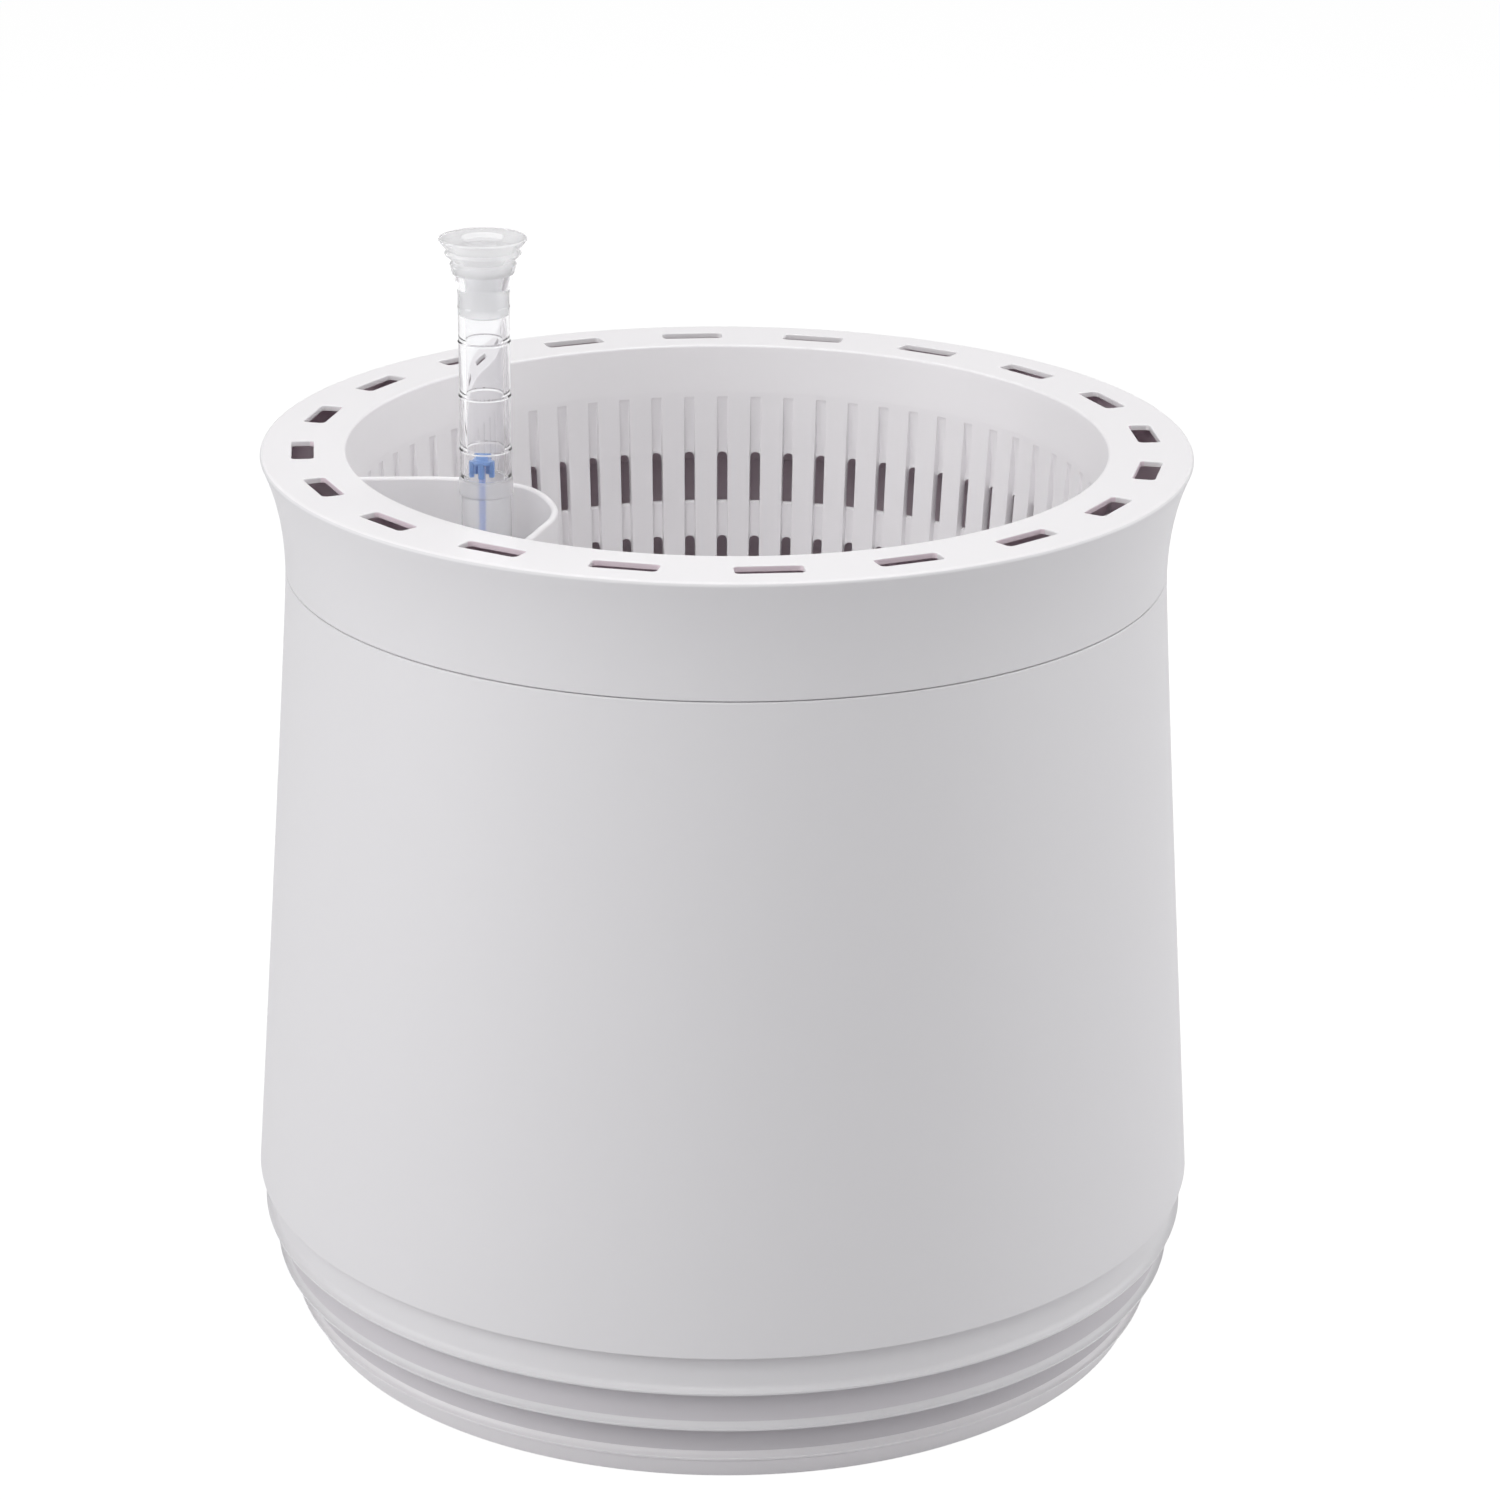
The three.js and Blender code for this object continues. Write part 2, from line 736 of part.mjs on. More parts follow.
// A cap with a hub on top and a crown of fingers hanging from its edge.
function indicatorHead() {
  const foot = potHeight + headBase;
  const capTop = foot + fingerHeight;
  const cap = revolve(
    [
      [0, capUnderside],
      [headRadius - fingerDepth, capUnderside],
      [headRadius - fingerDepth, capTop],
      [hubRadius, capTop],
      [hubRadius - 0.3, capTop + hubRise],
      [0, capTop + hubRise],
    ],
    10,
  );
  const bar = outline([
    [headRadius - fingerDepth - 0.3, foot],
    [headRadius, foot],
    [headRadius, capTop],
    [headRadius - fingerDepth - 0.3, capTop],
  ]);
  const fingers = around(fingerCount, -90, (turn) => sweepAcross(bar, turn, fingerWidth));
  return solid(cap)
    .add(solidOfMany(fingers))
    .translate([indicatorAxis.x, indicatorAxis.y, 0]);
}

function indicatorRod() {
  const foot = floatBase + floatHeight + clearance;
  const top = capUnderside - clearance;
  return turned([[0, foot], [rodRadius, foot], [rodRadius, top], [0, top]], 8, indicatorAxis);
}

function indicatorFloat() {
  const top = floatBase + floatHeight;
  const profile = [
    [0, floatBase],
    [floatRadius - 1, floatBase],
    [floatRadius, floatBase + 1],
    [floatRadius, top - 1],
    [floatRadius - 1, top],
    [0, top],
  ];
  return turned(profile, 12, indicatorAxis);
}

// ---- Materials and assembly ----

function plastic(color, roughness, opacity = 1) {
  return new THREE.MeshStandardMaterial({
    color,
    roughness,
    metalness: 0,
    opacity,
    transparent: opacity < 1,
  });
}

const purifier = new THREE.Group();

function addPiece(name, made, material) {
  const mesh = new THREE.Mesh(geometryOf(made), material);
  mesh.name = name;
  purifier.add(mesh);
}

const whiteShell = () => plastic(0xe4e2e6, 0.5);
const whiteInsert = () => plastic(0xefeef0, 0.5);

addPiece("base_pan", basePan(), plastic(0xd9d7db, 0.55));
padTurns.forEach((turn, i) => addPiece(`foot_pad_${i + 1}`, footPad(turn), plastic(0x3a3a3c, 0.9)));
addPiece("water_tank", waterTank(), plastic(0xd9d7db, 0.5));
addPiece("louvre_ring_lower", louvreRing(lowerLip, lowerTop, middleTop - shelfThickness), whiteShell());
addPiece("louvre_ring_middle", louvreRing(middleLip, middleTop, upperTop - shelfThickness), whiteShell());
addPiece("louvre_ring_upper", louvreRing(upperLip, upperTop, ledgeHeight), whiteShell());
addPiece("shell_ledge", shellLedge(), whiteShell());
addPiece("outer_shell", outerShell(), whiteShell());
addPiece("rim_collar", rimCollar(), whiteInsert());
addPiece("plant_basket", plantBasket(), whiteInsert());
addPiece("basket_floor", basketFloor(), whiteInsert());
addPiece("root_well", rootWell(), whiteInsert());
addPiece("fill_shaft", fillShaft(), whiteInsert());
addPiece("gauge_clip", gaugeClip(), whiteInsert());
addPiece("gauge_tube", gaugeTube(), plastic(0xf2f4f6, 0.1, 0.35));
addPiece("gauge_stopper", gaugeStopper(), plastic(0xf2f4f6, 0.15, 0.5));
addPiece("gauge_stem", gaugeStem(), plastic(0xe6e8ec, 0.4, 0.7));
addPiece("gauge_foot", gaugeFootPlug(), plastic(0xe6e8ec, 0.4));
addPiece("indicator_head", indicatorHead(), plastic(0x3f7fd0, 0.35));
addPiece("indicator_rod", indicatorRod(), plastic(0x5f90dc, 0.35));
addPiece("indicator_float", indicatorFloat(), plastic(0xf4f4f4, 0.7));

export default purifier;
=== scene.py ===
"""The looks of a passive planter air purifier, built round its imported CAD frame.
Sizes are in millimetres, in the CAD's own frame: +Z up, front towards -Y, and the origin on the
ground under the axis."""

import math

import bmesh
import bpy
from mathutils import Matrix, Vector
from mathutils.geometry import tessellate_polygon


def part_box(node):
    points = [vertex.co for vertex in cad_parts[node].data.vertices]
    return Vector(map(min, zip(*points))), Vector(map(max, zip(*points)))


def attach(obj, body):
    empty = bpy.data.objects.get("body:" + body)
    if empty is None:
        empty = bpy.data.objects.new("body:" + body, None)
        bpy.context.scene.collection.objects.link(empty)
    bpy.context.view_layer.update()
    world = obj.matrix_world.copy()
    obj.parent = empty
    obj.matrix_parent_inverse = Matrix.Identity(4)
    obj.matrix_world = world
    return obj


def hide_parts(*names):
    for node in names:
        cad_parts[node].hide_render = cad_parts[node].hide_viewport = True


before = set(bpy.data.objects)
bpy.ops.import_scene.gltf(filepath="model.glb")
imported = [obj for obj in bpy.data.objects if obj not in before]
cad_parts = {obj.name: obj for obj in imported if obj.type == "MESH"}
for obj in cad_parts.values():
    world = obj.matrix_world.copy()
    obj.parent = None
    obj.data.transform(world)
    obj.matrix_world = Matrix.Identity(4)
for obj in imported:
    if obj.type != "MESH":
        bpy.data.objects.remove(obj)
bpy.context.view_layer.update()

MM = 0.001
# In degrees: edges that bend more than this stay sharp, and the turn between a round's points.
SHARP_ANGLE, ROUND_STEP = 32, 14
# In metres: corners closer than this become one, and edges shorter than this go.
WELD, SLIVER = 2e-6, 1e-6


def span(node):
    """A CAD node's radius about its own middle, its lowest and highest heights, and that middle."""
    low, high = (corner / MM for corner in map(Vector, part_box(node)))
    middle = (low + high) / 2
    return (high.x - low.x) / 2, low.z, high.z, (middle.x, middle.y)


# ---- Places of the CAD pieces ----

SHELL_RADIUS, SHELL_FOOT, SEAM, _ = span("outer_shell")
LEDGE_RADIUS, LEDGE_FOOT, LEDGE_TOP, _ = span("shell_ledge")
RIM_RADIUS, TONGUE_FOOT, RIM, _ = span("rim_collar")
_, BASKET_FOOT, _, _ = span("plant_basket")
FLOOR_RADIUS, FLOOR_FOOT, FLOOR_TOP, _ = span("basket_floor")
_, WELL_FOOT, WELL_TOP, _ = span("root_well")
_, _, SHAFT_TOP, _ = span("fill_shaft")
TANK_RADIUS, TANK_FOOT, TANK_TOP, _ = span("water_tank")
_, PAN_FOOT, PAN_TOP, _ = span("base_pan")
_, CLIP_FOOT, CLIP_TOP, _ = span("gauge_clip")
_, TUBE_FOOT, TUBE_TOP, GAUGE = span("gauge_tube")
_, _, STOPPER_TOP, _ = span("gauge_stopper")
_, STEM_FOOT, SOCKET_TOP, _ = span("gauge_stem")
_, PLUG_FOOT, PLUG_TOP, _ = span("gauge_foot")
_, HEAD_FOOT, HEAD_TOP, _ = span("indicator_head")
ROD_RADIUS, ROD_FOOT, ROD_TOP, INDICATOR = span("indicator_rod")
FLOAT_RADIUS, FLOAT_FOOT, FLOAT_TOP, _ = span("indicator_float")

# ---- Sizes of the moulded details ----

# Shell and collar.
SEAM_RADIUS, SHELL_WALL = 127.8, 2.6
RIM_EDGE = RIM_RADIUS + 0.9
OPENING_EDGE = 109.7
BAND_FOOT = RIM - 14.5
FLANGE_UNDERSIDE = RIM - 1.6
# Slots in the rim: the first one's angle from +X, and the radii that all of them lie between.
SLOT_TURN, SLOT_RING = 5.3, (113, 127)
SLOT_COUNT, SLOT_RADIUS = 20, 121.9
SLOT_LENGTH, SLOT_WIDTH, SLOT_CORNER = 18.5, 6.3, 1.3
# Radius between the basket's outside and the shell's inside, all the way down.
AIR_WAY_MIDDLE = 115
# Basket: its wall leans in by BASKET_LEAN for each millimetre down.
OPENING_RADIUS, OPENING_ROUND, BASKET_LEAN = 108.6, 1.5, 0.075
WINDOW_COUNT, WINDOW_TURN = 65, 2.2
WINDOW_HALF, WINDOW_HEIGHT = 1.6, 15.8
WINDOW_SILLS = (RIM - 76.8, RIM - 49.9)
GROOVE_DEPTH, BASKET_THICKNESS, SILL_EDGE = 2.2, 3.4, 0.6
WELL_MOUTH, GAUGE_HOLE = 36.3, 9.95
# Louvre rings: each lip's radius and height, and the top of the wall that stands behind it.
LIPS = {"lower": (130.8, 8.1, 21.8), "middle": (136.0, 20.3, 34.7), "upper": (139.4, 33.2, 46.4)}
LOUVRE_DEPTHS = {"lower": 4.2, "middle": 4.2, "upper": 2.9}
LIP_SWEEP = 1.8
# Filling shaft: its wall's ends as angles from +X, and the points between, from the gauge's axis.
SHAFT_ENDS = (183.6, 235.9)
SHAFT_ROUND_GAUGE = ((-15, 39.9), (1, 36.1), (11.4, 29.1), (17.4, 15.7), (18.4, 2.7), (14.4, -12.3))
SHAFT_HALF = 1.0
# Gauge: each level line's height above the rim, and how far it stands out.
LEVEL_LINES = ((10.7, 0.28), (26.0, 0.28), (41.3, 0.28), (51.1, 0.12))
TUBE_RADIUS, TUBE_NECK, BORE = 7.1, 6.2, 5.2
STEM_RADIUS, STEM_BORE = 6.95, 5.7
SOCKET_RADIUS, SOCKET_BORE, SOCKET_DEPTH = 7.5, 6.35, 4.8


def rib_face(height):
    """Radius of the basket's rib faces, and of the smooth band above them."""
    return OPENING_RADIUS - BASKET_LEAN * (RIM - OPENING_ROUND - height)


# ---- Outlines ----


def polar(radius, degrees, centre=(0, 0)):
    """The point at a radius and an angle from +X round a centre."""
    angle = math.radians(degrees)
    return centre[0] + radius * math.cos(angle), centre[1] + radius * math.sin(angle)


def rounded(corners, closed=True):
    """An outline from (x, y, radius) corners, each corner turned into an arc of its radius, or of
    the largest one that leaves its neighbours room."""
    count, out = len(corners), []
    for i, (x, y, size) in enumerate(corners):
        here = Vector((x, y))
        if not size or (not closed and i in (0, count - 1)):
            out.append((x, y))
            continue
        before = Vector(corners[i - 1][:2]) - here
        after = Vector(corners[(i + 1) % count][:2]) - here
        half_angle = before.angle(after) / 2
        cut = min(size / math.tan(half_angle), 0.49 * before.length, 0.49 * after.length)
        true_size = cut * math.tan(half_angle)
        aim = (before.normalized() + after.normalized()).normalized()
        centre = here + aim * (true_size / math.sin(half_angle))
        start = here + before.normalized() * cut - centre
        end = here + after.normalized() * cut - centre
        from_angle = math.atan2(start.y, start.x)
        turn = math.remainder(math.atan2(end.y, end.x) - from_angle, math.tau)
        steps = max(2, round(abs(turn) / math.radians(ROUND_STEP)))
        for k in range(steps + 1):
            angle = from_angle + turn * k / steps
            arm_x, arm_y = true_size * math.cos(angle), true_size * math.sin(angle)
            out.append((centre.x + arm_x, centre.y + arm_y))
    return out


def bend(start, pull, end, steps):
    """Points along a curve from start to end that a third point pulls aside."""
    start, pull, end = map(Vector, (start, pull, end))
    fractions = [k / steps for k in range(steps + 1)]
    return [tuple(start * (1 - f) ** 2 + pull * 2 * f * (1 - f) + end * f * f) for f in fractions]


def plain(points):
    """Corners with no rounding, from (x, y) points."""
    return [(x, y, 0) for x, y in points]


# ---- Skins: lists of corners and of faces ----


def revolve(profile, segments, centre=(0, 0), turn=0.0, closed=True):
    """A profile of (radius, height) turned about an upright axis. It runs up the outside and down
    the inside, and may touch the axis."""
    corners, rings, faces = [], [], []
    for radius, height in profile:
        if radius < 1e-6:
            rings.append([len(corners)] * segments)
            corners.append((*centre, height))
            continue
        rings.append(list(range(len(corners), len(corners) + segments)))
        around = [polar(radius, turn + 360 * k / segments, centre) for k in range(segments)]
        corners += [(*point, height) for point in around]
    for low, high in zip(rings, rings[1:] + rings[:1] * closed):
        for k in range(segments):
            after = (k + 1) % segments
            face = list(dict.fromkeys((low[k], low[after], high[after], high[k])))
            if len(face) > 2:
                faces.append(face)
    return corners, faces


def stack(loops, closed=True):
    """Faces between loops of points that all have the same count."""
    count = len(loops[0])
    corners = [point for loop in loops for point in loop]
    faces = []
    for level in range(len(loops) - 1):
        for k in range(count if closed else count - 1):
            after = (k + 1) % count
            low, high = level * count, (level + 1) * count
            faces.append((low + k, low + after, high + after, high + k))
    return corners, faces


def plate(outlines, low, high):
    """A flat plate from an outer outline and the outlines of its holes."""
    flat = [[Vector((x, y, 0)) for x, y in line] for line in outlines]
    triangles = tessellate_polygon(flat)
    points = [(p.x, p.y) for line in flat for p in line]
    count = len(points)
    corners = [(*p, low) for p in points] + [(*p, high) for p in points]
    faces = [*triangles, *[(a + count, b + count, c + count) for a, b, c in triangles]]
    first = 0
    for line in flat:
        size = len(line)
        for k in range(size):
            a, b = first + k, first + (k + 1) % size
            faces.append((a, b, b + count, a + count))
        first += size
    return corners, faces


def ring_of(skin, count, turn=0.0, centre=(0, 0)):
    """Copies of a skin that is made about the origin, spread evenly round a centre. The first is
    turned from +X by an angle in degrees."""
    corners, faces = skin
    shift = Vector((*centre, 0))
    copies = []
    for k in range(count):
        angle = Matrix.Rotation(math.radians(turn + 360 * k / count), 3, "Z")
        copies.append(([tuple(angle @ Vector(c) + shift) for c in corners], faces))
    return copies


def in_shaded_air_way(place, facing):
    """Whether a face looks into the space between the basket and the shell, as the flange's
    underside and the inner walls of its slots do. These faces get the painted mauve shade."""
    radius = place.xy.length
    outward = place.xy.normalized().dot(facing.xy)
    if place.z > (FLANGE_UNDERSIDE - 0.1) * MM:
        near_slot = SLOT_RING[0] * MM < radius < SLOT_RING[1] * MM
        return facing.z < -0.5 or (near_slot and abs(facing.z) < 0.3 and outward > 0.3)
    return outward > 0.3 if radius < AIR_WAY_MIDDLE * MM else outward < -0.3


def add_object(name, data):
    thing = bpy.data.objects.new(name, data)
    bpy.context.scene.collection.objects.link(thing)
    return thing


def piece(name, skins, finish, body, slot, nodes, linings=(), lined=in_shaded_air_way):
    """One named piece of the object, made of closed skins, that stands for the CAD nodes named.
    Linings are finishes for the faces that lined counts as 1, 2 and so on, not 0."""
    mesh = bpy.data.meshes.new(name)
    made = bmesh.new()
    for corners, faces in skins:
        verts = [made.verts.new(Vector(c) * MM) for c in corners]
        for face in faces:
            made.faces.new([verts[i] for i in face])
    bmesh.ops.remove_doubles(made, verts=made.verts, dist=WELD)
    bmesh.ops.dissolve_degenerate(made, edges=made.edges, dist=SLIVER)
    bmesh.ops.recalc_face_normals(made, faces=made.faces)
    if linings:
        for face in made.faces:
            face.material_index = int(lined(face.calc_center_median(), face.normal))
    made.to_mesh(mesh)
    made.free()
    mesh.polygons.foreach_set("use_smooth", [True] * len(mesh.polygons))
    mesh.set_sharp_from_angle(angle=math.radians(SHARP_ANGLE))
    thing = add_object(name, mesh)
    for coat in (finish, *linings):
        mesh.materials.append(coat)
    even = thing.modifiers.new("even_normals", "WEIGHTED_NORMAL")
    even.keep_sharp = True
    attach(thing, body)
    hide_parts(*nodes)
    return thing


# ---- Finishes ----


def linear(code):
    """An sRGB hex colour as the linear values that a shader takes."""
    channels = [int(code[i : i + 2], 16) / 255 for i in (1, 3, 5)]
    return (*(c / 12.92 if c <= 0.04045 else ((c + 0.055) / 1.055) ** 2.4 for c in channels), 1.0)


def node(tree, kind, links=(), **settings):
    """Adds a node. Settings are its properties, or sockets by name. Links are (socket, source)."""
    made = tree.nodes.new(kind)
    for name, value in settings.items():
        if hasattr(made, name):
            setattr(made, name, value)
        else:
            made.inputs[name.replace("_", " ")].default_value = value
    for socket, source in links:
        tree.links.new(source, made.inputs[socket])
    return made


def empty_tree(owner):
    """The node tree of a new material or world, with nothing in it."""
    owner.use_nodes = True
    owner.node_tree.nodes.clear()
    return owner.node_tree


def finish(name, grain=None, **shader):
    """A material of one plastic. Grain is (size in mm, height in mm) of its moulded texture."""
    material = bpy.data.materials.new(name)
    tree = empty_tree(material)
    links = []
    if grain:
        size, height = grain
        place = node(tree, "ShaderNodeTexCoord")
        texture = node(
            tree,
            "ShaderNodeTexNoise",
            [("Vector", place.outputs["Object"])],
            Scale=1 / (size * MM),
            Detail=2.0,
            Roughness=0.5,
        )
        relief = node(
            tree,
            "ShaderNodeBump",
            [("Height", texture.outputs["Fac"])],
            Strength=0.35,
            Distance=height * MM,
        )
        links = [("Normal", relief.outputs["Normal"])]
    surface = node(tree, "ShaderNodeBsdfPrincipled", links)
    for socket, value in shader.items():
        surface.inputs[socket.replace("_", " ")].default_value = value
    node(tree, "ShaderNodeOutputMaterial", [("Surface", surface.outputs["BSDF"])])
    return material


# Injection-moulded polypropylene from a finely spark-eroded tool: a soft satin white with wide,
# blurred highlights. The grain is drawn at 0.9 mm, coarser than the real 0.1 mm, so that it shows.
SHELL = finish(
    "satin_moulded_polypropylene",
    grain=(0.9, 0.012),
    Base_Color=linear("#edecee"),
    Roughness=0.42,
    IOR=1.49,
    Specular_IOR_Level=0.45,
)
# The same plastic from a smoother tool: cleaner white, a little tighter highlight.
INSERT = finish(
    "smooth_moulded_polypropylene",
    grain=(0.9, 0.006),
    Base_Color=linear("#fbf9fb"),
    Roughness=0.38,
    IOR=1.49,
    Specular_IOR_Level=0.45,
)
# Painted shade on the faces in the air way of the same mouldings: a dull pinkish white in place of
# the plastic's white, so that the windows and the rim's slots look dusky purple where little light
# gets in.
AIR_WAY_SHADE = finish(
    "painted_shade_mauve_polypropylene",
    grain=(0.9, 0.02),
    Base_Color=linear("#f7e8f0"),
    Roughness=0.6,
    IOR=1.49,
)
# Painted shade on the two lower louvres' walls, recessed under the lips: a flat light grey between
# white lips.
LOUVRE_SHADE = finish(
    "painted_shade_grey_polypropylene",
    grain=(0.9, 0.02),
    Base_Color=linear("#dcd9dd"),
    Roughness=0.6,
    IOR=1.49,
)
# Clear moulded polystyrene: shows what stands behind it with thin white edge lines. The IOR is
# under the plastic's 1.59, so that the bends and edges of the wall stay as faint as the real ones.
CLEAR = finish(
    "clear_moulded_polystyrene",
    Base_Color=linear("#fbfbfc"),
    Roughness=0.02,
    IOR=1.35,
    Transmission_Weight=1.0,
)
# Soft low-density polyethylene: translucent, a pale milky grey with soft edges. The low IOR and
# the alpha stand for light that scatters through the plastic.
STOPPER = finish(
    "milky_soft_polyethylene",
    Base_Color=linear("#f6f6f7"),
    Roughness=0.22,
    IOR=1.2,
    Transmission_Weight=0.6,
    Alpha=0.7,
)
# Natural, unpigmented polypropylene: faintly milky and without hard edges, it shows the rod inside
# a little blurred. IOR and alpha are set as on the stopper.
FROSTED = finish(
    "natural_milky_polypropylene",
    Base_Color=linear("#fafafb"),
    Roughness=0.3,
    IOR=1.1,
    Transmission_Weight=0.75,
    Alpha=0.5,
)
# Sky blue moulded polystyrene with light passing through its thin fingers.
BLUE = finish(
    "blue_moulded_polystyrene",
    Base_Color=linear("#86aee8"),
    Roughness=0.2,
    IOR=1.5,
    Transmission_Weight=0.35,
)
# Extruded rod of the same plastic with less dye in it: a pale lavender blue.
PALE_BLUE = finish(
    "pale_blue_polystyrene_rod",
    Base_Color=linear("#a9b8e6"),
    Roughness=0.25,
    IOR=1.5,
)
# Closed-cell foam: matt white with beads of about 2 mm.
FOAM = finish("white_bead_foam", grain=(2.0, 0.2), Base_Color=linear("#f2f2ef"), Roughness=0.85)
# Die-cut elastomer: matt charcoal, no gloss.
PAD = finish(
    "matt_charcoal_elastomer",
    grain=(0.8, 0.05),
    Base_Color=linear("#333336"),
    Roughness=0.9,
)

# ---- Pot ----

RING_STEPS = 320


def shell_side(depth):
    """The shell's curve from foot to seam, at a depth under its outside."""
    seam_radius = SEAM_RADIUS - depth
    foot = (SHELL_RADIUS - depth, SHELL_FOOT)
    return bend(foot, (seam_radius, SEAM - 10), (seam_radius, SEAM), 24)


def outer_shell():
    """A tapered wall that curves upright at the seam, with small rounds on both edges."""
    outside, inside = shell_side(0), shell_side(SHELL_WALL)[::-1]
    profile = rounded(
        [
            (SHELL_RADIUS - SHELL_WALL, SHELL_FOOT, 0.3),
            (*outside[0], 0.35),
            *plain(outside[1:-1]),
            (*outside[-1], 0.45),
            (*inside[0], 0.4),
            *plain(inside[1:-1]),
        ]
    )
    return revolve(profile, RING_STEPS)


def ledge_ring():
    """The flat ring in the shell's foot that rests on the top louvre ring's posts."""
    bore = LIPS["upper"][0] - 9.6
    outline = [
        (bore, LEDGE_FOOT, 0.4),
        (LEDGE_RADIUS, LEDGE_FOOT, 0.4),
        (LEDGE_RADIUS, LEDGE_TOP, 0.4),
        (bore, LEDGE_TOP, 0.4),
    ]
    return revolve(rounded(outline), RING_STEPS)


def louvre_ring(lip_radius, lip_height, top, depth, carried):
    """A lip that bends up and in to a nearly upright wall, an inward shelf, and 6 posts on it that
    end at the height they carry."""
    wall_top = lip_radius - depth
    bore = lip_radius - 15
    turn_out = (lip_radius - 1.5, lip_height + 0.8)
    sweep_end = (lip_radius - LIP_SWEEP, lip_height + 2.1)
    sweep = bend((lip_radius, lip_height + 0.3), turn_out, sweep_end, 10)
    profile = rounded(
        [
            (wall_top - 0.6, lip_height - 0.5, 0.4),
            (lip_radius - 0.2, lip_height - 0.5, 0.3),
            (*sweep[0], 0.25),
            *plain(sweep[1:]),
            (wall_top, top, 0.6),
            (bore, top, 0.4),
            (bore, top - 2, 0.4),
            (wall_top - 1.8, top - 2, 0.8),
        ]
    )
    inner, outer, half, edge = wall_top - 3.5, wall_top - 0.5, 2.5, 0.5
    post = [(inner, -half, edge), (outer, -half, edge), (outer, half, edge), (inner, half, edge)]
    return [revolve(profile, RING_STEPS), *ring_of(plate([rounded(post)], top - 1, carried), 6)]


def base_pan():
    """The pan that stands on the ground. Its outer wall is the band under the lowest lip."""
    outer = LIPS["lower"][0] - 0.9
    inner = LIPS["lower"][0] - 6.2
    foot_inner, foot_outer = 122.4, 126.5
    return revolve(
        rounded(
            [
                (0, PAN_FOOT + 1, 0),
                (foot_inner - 0.9, PAN_FOOT + 1, 0.4),
                (foot_inner, PAN_FOOT, 0.4),
                (foot_outer, PAN_FOOT, 0.9),
                (outer, PAN_TOP + 0.25, 0.3),
                (inner, PAN_TOP + 0.25, 0.4),
                (inner, PAN_FOOT + 3.5, 1.2),
                (0, PAN_FOOT + 3.5, 0),
            ],
            closed=False,
        ),
        RING_STEPS,
    )


def water_tank():
    """A bowl with a wall and floor of 2 mm and a broad rim."""
    foot = TANK_RADIUS - 3
    return revolve(
        rounded(
            [
                (0, TANK_FOOT, 0),
                (foot, TANK_FOOT, 3.5),
                (TANK_RADIUS - 2.5, TANK_TOP - 2, 0.5),
                (TANK_RADIUS, TANK_TOP - 2, 0.6),
                (TANK_RADIUS, TANK_TOP, 0.8),
                (TANK_RADIUS - 4.5, TANK_TOP, 0.8),
                (foot - 2, TANK_FOOT + 2, 3),
                (0, TANK_FOOT + 2, 0),
            ],
            closed=False,
        ),
        160,
    )


def disc(radius, low, high, edge, centre):
    """A solid disc with rounded edges."""
    corners = [(0, low, 0), (radius, low, edge), (radius, high, edge), (0, high, 0)]
    return revolve(rounded(corners, closed=False), 48, centre)


# The shell's inside, in the air way, is lined with the painted mauve shade.
piece(
    "tapered_shell",
    [outer_shell()],
    SHELL,
    "pot",
    "shell_plastic",
    ["outer_shell"],
    linings=[AIR_WAY_SHADE],
)
piece("shell_ledge_ring", [ledge_ring()], SHELL, "pot", "shell_plastic", ["shell_ledge"])
# The height that each ring's posts reach, just under what they carry.
CARRIED = {
    "lower": LIPS["middle"][2] - 2.3,
    "middle": LIPS["upper"][2] - 2.3,
    "upper": LEDGE_FOOT - 0.3,
}
# Each louvre's wall is painted grey shade behind its lip. The upper one's is as white as the shell
# over it.
# The lower ring has the insert's whiter white, not the shell's: painted light on a ring that the
# lips above shade.
for level, (lip_radius, lip_height, top) in LIPS.items():
    skins = louvre_ring(lip_radius, lip_height, top, LOUVRE_DEPTHS[level], CARRIED[level])
    upright = (lip_radius - LIP_SWEEP + 0.1) * MM
    piece(
        f"louvre_{level}",
        skins,
        INSERT if level == "lower" else SHELL,
        "pot",
        "shell_plastic",
        [f"louvre_ring_{level}"],
        linings=[SHELL if level == "upper" else LOUVRE_SHADE],
        lined=lambda place, facing, upright=upright: place.xy.length < upright,
    )
# The foot pan also has the insert's whiter white: painted light on the band under the lowest lip.
piece("foot_pan", [base_pan()], INSERT, "pot", "shell_plastic", ["base_pan"])
piece("water_bowl", [water_tank()], SHELL, "pot", "shell_plastic", ["water_tank"])
for k in range(1, 5):
    name = f"foot_pad_{k}"
    radius, low, high, centre = span(name)
    piece(f"rest_pad_{k}", [disc(radius, low, high, 0.3, centre)], PAD, "pot", "foot_pads", [name])

# ---- Rim collar ----


def slot_loop(grow):
    """The rim slot's outline, 46 points in 4 runs that match the flange patch round it."""
    half_width, half_length = SLOT_WIDTH / 2 + grow, SLOT_LENGTH / 2 + grow
    corner = SLOT_CORNER + grow
    x, y = half_width - corner, half_length - corner
    ends = [(-x, -y, 225), (-x, y, 135), (x, y, 45), (x, -y, -45)]
    loop = []
    for i, gaps in enumerate((10, 1, 10, 1)):
        start, end = ends[i], ends[(i + 1) % 4]
        run = [polar(corner, start[2] - 15 * k, start[:2]) for k in range(4)]
        after = [polar(corner, start[2] - 90 + 15 * k, end[:2]) for k in (3, 2, 1)]
        a, b = Vector(run[-1]), Vector(after[0])
        run += [tuple(a.lerp(b, k / gaps)) for k in range(1, gaps)]
        loop += run + after
    return loop


